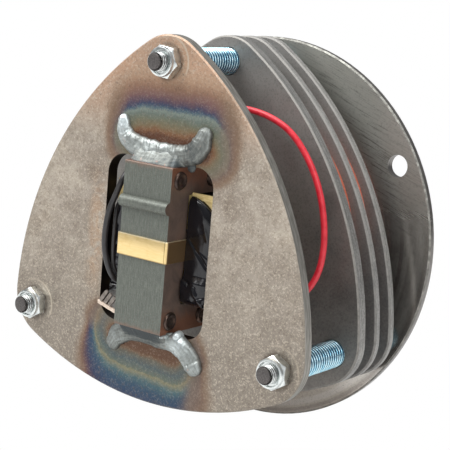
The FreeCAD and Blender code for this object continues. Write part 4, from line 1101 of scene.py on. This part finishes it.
# ------------------------------------------------------------------ solenoid
SHEET = 0.5
SHEET_GAP = 0.02
CORE_HALF_WIDTH = 13.0
CORE_HALF_HEIGHT = 36.0
YOKE_THICK = 12.5
CORE_DEPTH = 36.9
ARM_INSIDE = 24.0
LIMB_HALF_HEIGHT = 8.3
LIMB_LENGTH = 11.3
RIDGE_RADIUS = 2.8
RIDGE_LEVEL = 18.7


def sheet_outline(lift, slide):
    """One lamination's outline as (y, z) points, ridge and inner window included."""
    front = CORE_FACE + slide
    yoke_back, back = CORE_FACE + YOKE_THICK, CORE_FACE + CORE_DEPTH
    limb_end = yoke_back + LIMB_LENGTH
    points = [(front, -CORE_HALF_HEIGHT + 0.3), (front, RIDGE_LEVEL - RIDGE_RADIUS)]
    for step in range(1, 12):
        a = math.pi * step / 12
        points.append((front - RIDGE_RADIUS * math.sin(a),
                       RIDGE_LEVEL - RIDGE_RADIUS * math.cos(a)))
    points += [
        (front, RIDGE_LEVEL + RIDGE_RADIUS), (front, CORE_HALF_HEIGHT - 0.3),
        (front + 0.3, CORE_HALF_HEIGHT), (back, CORE_HALF_HEIGHT), (back, ARM_INSIDE),
        (yoke_back, ARM_INSIDE), (yoke_back, LIMB_HALF_HEIGHT), (limb_end, LIMB_HALF_HEIGHT),
        (limb_end, -LIMB_HALF_HEIGHT), (yoke_back, -LIMB_HALF_HEIGHT), (yoke_back, -ARM_INSIDE),
        (back, -ARM_INSIDE), (back, -CORE_HALF_HEIGHT), (front + 0.3, -CORE_HALF_HEIGHT)]
    return [(y, z + lift) for y, z in points]


def make_lamination_stack():
    """Half-millimetre sheets, each a hair out of line with its neighbours."""
    chance = random.Random(5)
    stack = Heap()
    for i in range(round(2 * CORE_HALF_WIDTH / SHEET)):
        left = -CORE_HALF_WIDTH + i * SHEET
        outline = sheet_outline(chance.uniform(-0.04, 0.04), chance.uniform(-0.012, 0.012))
        rings = [[(x, y, z) for y, z in outline] for x in (left, left + SHEET - SHEET_GAP)]
        stack.add(skin(rings))
    piece = stack.piece("lamination_stack", lamination_steel(), sharp=25)
    settle(piece, "laminations", "solenoid_frame")


RIVET_HEAD = ((4.0, 0.0), (3.95, 0.5), (3.6, 0.95), (3.1, 1.15), (2.6, 1.05), (2.2, 0.75),
              (1.7, 0.6), (1.2, 0.75), (0.7, 0.8), (0.1, 0.8))


def make_frame_rivets():
    """Rolled-over heads of the four rivets that clamp the stack, seen on both sides."""
    heap = Heap()
    low, high = limits("frame_rivets")
    radius = RIVET_HEAD[0][0]
    for y in (low.y + radius, high.y - radius):
        for z in (low.z + radius, high.z - radius):
            for side in (1, -1):
                place = Matrix.Translation((side * CORE_HALF_WIDTH, y, z))
                aim = Matrix.Rotation(math.radians(-90 * side), 4, "Z")
                heap.add(lathe(RIVET_HEAD, steps=40), turn=place @ aim)
    settle(heap.piece("rivet_heads", rivet_metal(), sharp=60), "rivet_steel", "frame_rivets")


def rounded_loop(half_wide, half_high, corner, per_corner=8, per_side=14):
    """(x, z) points round a rectangle with rounded corners."""
    points = []
    spots = ((1, 1, 0), (-1, 1, 90), (-1, -1, 180), (1, -1, 270))
    for n, (sx, sz, start) in enumerate(spots):
        cx, cz = sx * (half_wide - corner), sz * (half_high - corner)
        for k in range(per_corner + 1):
            a = math.radians(start + 90 * k / per_corner)
            points.append((cx + corner * math.cos(a), cz + corner * math.sin(a)))
        nx, nz, after = spots[(n + 1) % 4]
        a = math.radians(after)
        goal = (nx * (half_wide - corner) + corner * math.cos(a),
                nz * (half_high - corner) + corner * math.sin(a))
        last = points[-1]
        for k in range(1, per_side):
            share = k / per_side
            points.append((last[0] + (goal[0] - last[0]) * share,
                           last[1] + (goal[1] - last[1]) * share))
    return points


COIL_WINDOW = (14.6, 9.9, 0.4)  # half width, half height and corner radius


def make_coil():
    """Tape-wrapped winding: a wide ring whose turns of tape overlap in low steps.

    Its window lets the bobbin's tube, the frame's limb and the plunger's stem through.
    """
    low, high = limits("coil")
    chance = random.Random(11)
    loop = rounded_loop(high.x, high.z, 8.0)
    rings = []
    levels = 44
    for i in range(levels + 1):
        y = low.y + (high.y - low.y) * i / levels
        lap = 0.35 * ((i / 7) % 1)
        edge = 1.4 * max(0, 1 - min(i, levels - i) / 4) ** 2
        ring = []
        for x, z in loop:
            wrinkle = noise.fractal(Vector((x, y * 1.6, z)) * 0.16, 0.6, 2.2, 4)
            inset = lap + edge + 0.45 * (0.5 + wrinkle) + chance.uniform(0, 0.03)
            scale = 1 - inset / math.hypot(x, z)
            ring.append((x * scale, y, z * scale))
        rings.append(ring)
    for y in (high.y, low.y):
        rings.append([(x, y, z) for x, z in rounded_loop(*COIL_WINDOW)])
    heap = Heap()
    heap.add(skin(rings, caps=False, joined=True))
    settle(heap.piece("coil_wrap", glossy_tape(), sharp=70), "black_tape", "coil")


LOBE_INNER, LOBE_OUTER = 14.0, 28.3
LOBE_HALF_HEIGHT = 23.5
LOBE_BULGE = 2.6
# Folds from (x, z) to (x, z), with a width and a depth.
LOBE_FOLDS = (((14, 7), (28, -8), 0.8, 0.9), ((16, 3), (27, -3), 0.6, -0.5),
              ((13.5, -11.5), (21, -15), 0.9, 1.2), ((19, -14), (27, -24), 0.8, -0.9),
              ((22, 14), (27, 2), 0.9, -0.4), ((21, -20), (28, -17), 0.7, 0.7))


def crease(x, z, start, end, width):
    """How deep in a fold a point lies, from 0 to 1; the fold runs from start to end."""
    run = Vector(end) - Vector(start)
    from_start = Vector((x, z)) - Vector(start)
    share = min(1, max(0, from_start.dot(run) / run.length_squared))
    away = (from_start - run * share).length / width
    return math.exp(-away * away) * math.sin(math.pi * min(0.9, max(0.1, share)))


def lobe_outer_edge(z):
    """Outer x of the tape at a height: the upper corner is cut round far more than the lower."""
    if z > 10:
        past = (z - 10) / (LOBE_HALF_HEIGHT - 10)
        return LOBE_INNER + (LOBE_OUTER - LOBE_INNER) * max(0.03, 1 - past ** 2.1) ** 0.62
    past = max(0, -z - (LOBE_HALF_HEIGHT - 4)) / 4
    return LOBE_OUTER - 4 * (1 - math.sqrt(max(0, 1 - past * past)))


def lobe_face(x, z, outer, level, side):
    """Y of the taped surface: a soft dome, fuller at its lower end, with folds."""
    width = max(outer - LOBE_INNER, 0.5)
    edge = min(1, max(0, outer - x) / min(5, width), max(0, LOBE_HALF_HEIGHT - abs(z)) / 4)
    dome = math.sqrt(max(0, 1 - (1 - edge) ** 2))
    full = LOBE_BULGE * dome
    if z < -10:
        full += 1.6 * min(1, (-10 - z) / 3) * dome
    folds = sum(depth * crease(x, z, start, end, wide) for start, end, wide, depth in LOBE_FOLDS)
    soft = noise.fractal(Vector((side * x * 0.12, 3.1 * side, z * 0.1)), 0.8, 2.0, 2)
    return level + LOBE_BULGE - full + folds * 0.8 + 0.25 * soft


def make_end_tape():
    """Black tape folded over the winding's front, one creased lobe each side of the core."""
    low, high = limits("coil_end_tape")
    heap = Heap()
    columns, rows = 44, 140
    for side in (1, -1):
        rings = []
        for i in range(rows + 1):
            z = (2 * i / rows - 1) * LOBE_HALF_HEIGHT
            outer = lobe_outer_edge(z)
            ring = []
            for j in range(columns + 1):
                x = LOBE_INNER + (outer - LOBE_INNER) * j / columns
                y = min(lobe_face(x, z, outer, low.y, side), high.y)
                ring.append((side * x, y, z))
            ring += [(side * outer, high.y, z), (side * LOBE_INNER, high.y, z)]
            rings.append(ring if side > 0 else ring[::-1])
        heap.add(skin(rings))
    settle(heap.piece("tape_lobes", glossy_tape(), sharp=80), "black_tape", "coil_end_tape")


def make_bobbin_lip():
    """Corner of the bobbin's card that stands a little above the winding."""
    low, high = limits("bobbin")
    heap = Heap()
    for side in (1, -1):
        outline = ((13.6, high.z - 1.5), (high.x - 0.3, high.z - 1.5), (high.x - 0.3, high.z + 1.2),
                   (13.6, high.z + 1.2))
        loop = [(side * x, z) for x, z in outline][::side]
        heap.add(skin([[(x, y, z) for x, z in loop] for y in (low.y - 0.5, low.y + 0.6)]))
    piece = heap.piece("bobbin_lip", straw_paper())
    settle(piece, "bobbin_paper")


def make_strap():
    """Brass strap bent round the yoke; its bends keep the mark of the tool."""
    low, high = limits("brass_strap")
    thick, bend = 0.8, 1.1
    outside = [(-high.x, high.y)]
    for sx, start in ((-1, 180), (1, 270)):
        for k in range(9):
            a = math.radians(start + 90 * k / 8)
            outside.append((sx * (high.x - bend) + bend * math.cos(a),
                            low.y + bend + bend * math.sin(a)))
    outside.append((high.x, high.y))
    shift = {0: (thick, 0), len(outside) - 1: (-thick, 0)}
    inside = []
    for i, (x, y) in enumerate(outside):
        if i in shift:
            inside.append((x + shift[i][0], y))
            continue
        cx = math.copysign(high.x - bend, x)
        cy = low.y + bend
        scale = (bend - thick) / bend
        inside.append((cx + (x - cx) * scale, cy + (y - cy) * scale))
    loop = outside + inside[::-1]
    round_off = 0.12
    rings = []
    for z, inset in ((low.z, round_off), (low.z + round_off, 0), (high.z - round_off, 0),
                     (high.z, round_off)):
        rings.append([(x * (1 - inset / high.x), y + inset * 0.4, z) for x, y in loop])
    heap = Heap()
    heap.add(skin(rings))
    settle(heap.piece("brass_band", rolled_brass(), sharp=30), "brass", "brass_strap")


def make_terminals():
    """Card strip with three leaning tags beside the core."""
    low, high = limits("terminal_strip")
    heap = Heap()
    board = []
    for x, z in ((low.x, -28.3), (-CORE_HALF_WIDTH, -31.0)):
        board.append([(x, low.y, z - 0.9), (x, low.y, z + 0.7), (x, high.y, z + 0.7),
                      (x, high.y, z - 0.9)])
    heap.add(skin(board))
    lean = math.radians(36)
    up = Vector((math.sin(lean), 0, math.cos(lean)))
    aside = Vector((math.cos(lean), 0, -math.sin(lean)))
    for i in range(3):
        foot = Vector((low.x + 1.5 + 2.6 * i, low.y, -27.6 - 0.6 * i))
        tall = 6.0 - 0.4 * i
        rings = []
        for share, narrow in ((0, 1), (0.85, 1), (1, 0.7)):
            middle = foot + up * tall * share
            wide = aside * 0.85 * narrow
            rings.append([middle - wide + Vector((0, d, 0)) for d in (-0.1, 0.7)]
                         + [middle + wide + Vector((0, d, 0)) for d in (0.7, -0.1)])
        heap.add(skin(rings), 1)
    piece = heap.piece("terminal_comb", terminal_board(), terminal_tag())
    settle(piece, "terminal_grey", "terminal_strip")


# ------------------------------------------------------------------ weld beads
# Each bead from its left tip to its right one: stations of x, z, half width, height and
# brightness. It leans on the solenoid, so its metal also runs out over the block.
WELDS = {
    "upper_weld": (
        (-21.8, 51.4, 2.9, 2.6, 0.95), (-20.9, 47.4, 3.8, 3.0, 0.8), (-18.2, 43.9, 4.4, 3.1, 0.6),
        (-13.8, 41.7, 4.8, 3.0, 0.55), (-8.0, 40.7, 4.9, 3.0, 0.62), (1.0, 40.5, 4.6, 3.0, 0.62),
        (11.0, 40.6, 4.6, 3.2, 0.45), (17.6, 42.5, 5.0, 3.6, 0.28), (21.3, 46.8, 4.8, 3.6, 0.34),
        (22.7, 50.6, 3.8, 3.2, 0.42)),
    "lower_weld": (
        (-18.8, -46.8, 3.8, 2.6, 0.4), (-16.8, -43.4, 4.8, 3.0, 0.45),
        (-13.2, -41.2, 4.6, 2.8, 0.4), (-7.8, -40.2, 4.0, 2.4, 0.28),
        (0.5, -40.1, 3.8, 2.2, 0.22), (7.8, -40.3, 3.9, 2.5, 0.32), (13.3, -39.8, 4.3, 3.4, 0.6),
        (18.1, -40.3, 5.0, 4.0, 0.78), (23.0, -43.6, 4.7, 3.6, 0.62),
        (26.1, -47.4, 4.6, 3.4, 0.55)),
}
WELD_DROPS = {
    "upper_weld": ((16.8, 36.6, 2.2, 1.4, 0.1),),
    "lower_weld": ((12.4, -37.0, 1.1, 7.4, 0.9), (17.6, -36.2, 2.4, 4.2, 0.9)),
}


def weld_stations(stations, step=0.25):
    """Evenly fine stations along a smooth line through the given ones."""
    points = [Vector(s) for s in stations]
    points = [points[0] * 2 - points[1], *points, points[-1] * 2 - points[-2]]
    line = []
    for a, b, c, d in zip(points, points[1:], points[2:], points[3:]):
        count = max(2, round((Vector(c[:2]) - Vector(b[:2])).length / step))
        for k in range(count):
            t = k / count
            line.append(b + (c - a) * (t / 2) + (a * 2 - b * 5 + c * 4 - d) * (t * t / 2)
                        + (b * 3 - a - c * 3 + d) * (t * t * t / 2))
    return line + [points[-2]]


def pool_height(x, z):
    """How far the bead's metal stands out where it wets the block's end face."""
    gap = abs(z) - CORE_HALF_HEIGHT
    if abs(x) > CORE_HALF_WIDTH + 1.5 or gap > 8:
        return 0.0
    aside = min(1, (CORE_HALF_WIDTH + 1.5 - abs(x)) / 2.5)
    return 6.4 * (1 - max(gap, 0) / 8) ** 1.2 * aside


def drop_shell(x, z, radius, height):
    """Low dome on the plate."""
    profile = [(radius * math.cos(a), height * math.sin(a))
               for a in (math.radians(15 * k) for k in range(6))]
    rings = []
    for r, tall in profile:
        rings.append([(x + r * math.cos(b), FRONT_FACE - tall, z + r * math.sin(b))
                      for b in (2 * math.pi * j / 24 for j in range(24))])
    return skin(rings)


def make_weld(node, seed):
    """Bead laid in one pass, with blunt tips, low ripples, lumps and small pits."""
    line = weld_stations(WELDS[node])
    flat = [Vector(point[:2]) for point in line]
    travelled = [0.0]
    for a, b in zip(flat, flat[1:]):
        travelled.append(travelled[-1] + (b - a).length)
    across = 40
    rings, flow = [], []
    drift = Vector((seed * 3.7, seed * 1.3, 0))
    # rounded tips: rings bunch up beyond both ends of the line
    cap = [-math.cos(math.radians(90 * k / 10)) for k in range(1, 11)]
    stations = [(0, c) for c in cap] + [(i, 0) for i in range(1, len(line) - 1)] \
        + [(len(line) - 1, -c) for c in reversed(cap)]
    for index, beyond in stations:
        here = flat[index]
        ahead = flat[min(index + 1, len(line) - 1)] - flat[max(index - 1, 0)]
        ahead.normalize()
        off = Vector((-ahead.y, ahead.x))
        _x, _z, half, tall, tone = line[index]
        shrink = math.sqrt(max(0.0, 1 - beyond * beyond))
        s = travelled[index] + half * beyond
        ring = []
        for j in range(across + 1):
            u = math.cos(math.pi * (1 - j / across))
            w = math.sqrt(max(0, 1 - u * u))
            edge = half * (1 + 0.10 * noise.noise(Vector((s * 0.28, 5 + 0.8 * u, seed)))
                           + 0.06 * noise.noise(Vector((s * 0.9, 9 + 0.8 * u, seed))))
            spread = here + ahead * half * beyond + off * u * edge * shrink
            lump = noise.fractal(Vector((s * 0.2, u * 0.9, 0)) + drift, 0.9, 2.0, 2)
            ripple = math.sin(2 * math.pi * (s + 1.8 * u * u + 0.7 * lump) / 1.9)
            pit = max(0.0, noise.noise(Vector((s * 0.8, u * 3, 4)) + drift) - 0.5)
            height = tall * (w ** 0.95) * (1 + 0.16 * lump) * shrink
            height += (0.06 * ripple + 0.25 * lump - 1.4 * pit) * w * shrink
            pool = pool_height(spread.x, spread.y)
            # painted shade: the tone drops where the pool's flat ledge, which faces the light,
            # stands out over the bead
            pool_shade = 0.4 * min(1.0, max(0.0, pool - height) / 2)
            height = max(height, pool + 0.5 * lump)
            ring.append((spread.x, FRONT_FACE + 0.05 - max(height, 0.0), spread.y))
            flow.append((s, u, tone - pool_shade))
        rings.append(ring)
    vertices, faces = skin(rings)
    heap = Heap()
    heap.add((vertices, [face[::-1] for face in faces]))
    for x, z, radius, height, tone in WELD_DROPS[node]:
        shell = drop_shell(x, z, radius, height)
        heap.add(shell)
        flow += [(x, 0.0, tone)] * len(shell[0])
    return settle(heap.piece(f"{node}_bead", weld_metal(), sharp=70, flow=flow), "weld", node)


# ------------------------------------------------------------------ leads and springs
RED_ROUTE = (
    (27.5, -66, 7), (34, -66, 7), (40.2, -65.3, 11.2), (42, -64.2, 19), (38.6, -62.9, 27.2),
    (32, -61.6, 33.4), (24.6, -60.3, 38.4), (17.2, -59.1, 42.6), (11.8, -58.1, 48.2),
    (11.8, -57.1, 55.8), (17.2, -56.2, 61), (25, -55.2, 60.8), (34.3, -54.1, 58.9),
    (44.3, -53.1, 54.2), (52.9, -52.1, 44.6), (59.1, -51.1, 33.2), (63.1, -50.7, 20.3),
    (64.9, -51, 6.4), (63.7, -52.7, -6), (58.6, -56.8, -15.2), (50.2, -60.6, -17),
    (41.6, -63.3, -13.8), (34, -64.5, -11.5), (27.5, -64.5, -11.5))
BLACK_ROUTE = (
    (-17.5, -66, 23.5), (-17.5, -66, 30), (-17, -73, 34), (-16, -81, 34.6),
    (-17.2, -87.7, 27.4), (-19.6, -88.6, 20), (-21.9, -89.4, 13.6), (-22.8, -90.1, 7.6),
    (-23.5, -90, -0.5), (-22.8, -89.8, -7.2), (-21, -87.7, -15.5), (-19.4, -84.6, -19.6),
    (-19.4, -80.3, -19.6))
THIN_ROUTE = (
    (-17.8, -80.3, 19.4), (-17.8, -84, 19.4), (-20.4, -86.7, 14.4), (-20.1, -87.2, 10.8),
    (-20, -87.7, 5.6), (-20, -87.7, -2), (-20.4, -87.1, -8.2), (-20.5, -85.7, -14.1),
    (-18.6, -83.4, -17.2), (-18.6, -80.3, -17.2))


def make_lead(name, route, diameter, material, slot_name, node):
    """An insulated wire between two places on the coil."""
    curve = bpy.data.curves.new(name, "CURVE")
    curve.dimensions = "3D"
    curve.bevel_depth = diameter / 2 * MM
    curve.bevel_resolution = 6
    curve.use_fill_caps = True
    spline = curve.splines.new("NURBS")
    spline.points.add(len(route) - 1)
    for point, place in zip(spline.points, route):
        point.co = (*mm(*place), 1)
    spline.order_u = 3
    spline.use_endpoint_u = True
    spline.resolution_u = 12
    curve.materials.append(material)
    lead = bpy.data.objects.new(name, curve)
    bpy.context.scene.collection.objects.link(lead)
    settle(lead, slot_name, node)


SPRING_RADIUS = 6.2
SPRING_WIRE = 1.6
SPRING_TURNS = 7.0


def make_spring(place):
    """Compression spring with closed, ground ends between the two plates."""
    low, high = limits(f"spring_{place}")
    centre = (low + high) / 2
    start, end = low.y + SPRING_WIRE / 2, high.y - SPRING_WIRE / 2
    count = int(SPRING_TURNS * 40)
    points = []
    for k in range(count + 1):
        share = k / count
        a = 2 * math.pi * SPRING_TURNS * share
        # flatter at both ends, as closed coils are
        rise = share - math.sin(2 * math.pi * share) * 0.055
        points.append(Vector((centre.x + SPRING_RADIUS * math.cos(a),
                              start + (end - start) * rise,
                              centre.z + SPRING_RADIUS * math.sin(a))))
    heap = Heap()
    heap.add(tube(points, SPRING_WIRE / 2, steps=14))
    heap.vertices = [(x, min(max(y, low.y), high.y), z) for x, y, z in heap.vertices]
    piece = heap.piece(f"coil_spring_{place}", spring_steel(), sharp=60)
    settle(piece, "spring_steel", f"spring_{place}")
    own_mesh(piece)


# ------------------------------------------------------------------ CAD pieces kept as they are
KEPT = {
    "rear_flange": flange_steel, "front_plate": flame_tinted_steel,
    "pressure_plate": pressure_steel, "front_thin_plate": thin_plate_steel,
    "rear_thin_plate": thin_plate_steel, "shading_rings": bare_copper, "bobbin": straw_paper,
    "front_spring_seats": plain_steel, "rear_spring_seats": plain_steel,
    "plunger": lamination_steel, "plunger_rivets": rivet_metal, "drawbar_bracket": plain_steel,
    "bracket_screws": plain_steel, "plunger_pin": plain_steel, "pin_clip": plain_steel,
    "splined_hub": hub_steel, "hub_set_screw": plain_steel,
}
for _disc in ("front_disc", "middle_disc", "rear_disc"):
    KEPT[f"{_disc}_core"] = plain_steel
    KEPT[f"{_disc}_front_lining"] = friction_lining
    KEPT[f"{_disc}_rear_lining"] = friction_lining
KEPT["rear_disc_front_lining"] = KEPT["rear_disc_rear_lining"] = shadowed_lining


def paint_kept_nodes():
    """Give every CAD node that stays visible its finish."""
    for node, material in KEPT.items():
        mesh = NODES[node].data
        mesh.materials.clear()
        mesh.materials.append(material())


def main():
    """Set the view and the lights, then build every piece."""
    make_camera()
    make_world()
    make_floor()
    make_softbox("key", azimuth=-42, elevation=52, distance=1.5, side=1.0, power=26)
    make_softbox("fill", azimuth=62, elevation=28, distance=1.6, side=0.8, power=8)
    make_softbox("top", azimuth=30, elevation=85, distance=1.3, side=0.9, power=8)
    make_lead("red_wire", RED_ROUTE, 2.8, red_insulation(), "red_insulation", "red_lead")
    make_lead("black_wire", BLACK_ROUTE, 2.6, black_insulation(), "black_insulation",
              "black_lead")
    make_lead("thin_wire", THIN_ROUTE, 1.8, black_insulation(), "black_insulation",
              "thin_lead")
    paint_kept_nodes()
    for place, tilt in zip(STUDS, (22, 2, 2)):
        make_stud(place, math.radians(tilt))
        make_spring(place)
    make_lamination_stack()
    make_frame_rivets()
    make_coil()
    make_end_tape()
    make_bobbin_lip()
    make_strap()
    make_terminals()
    make_weld("upper_weld", seed=3)
    make_weld("lower_weld", seed=17)
    bpy.context.scene.view_settings.view_transform = "Standard"


main()
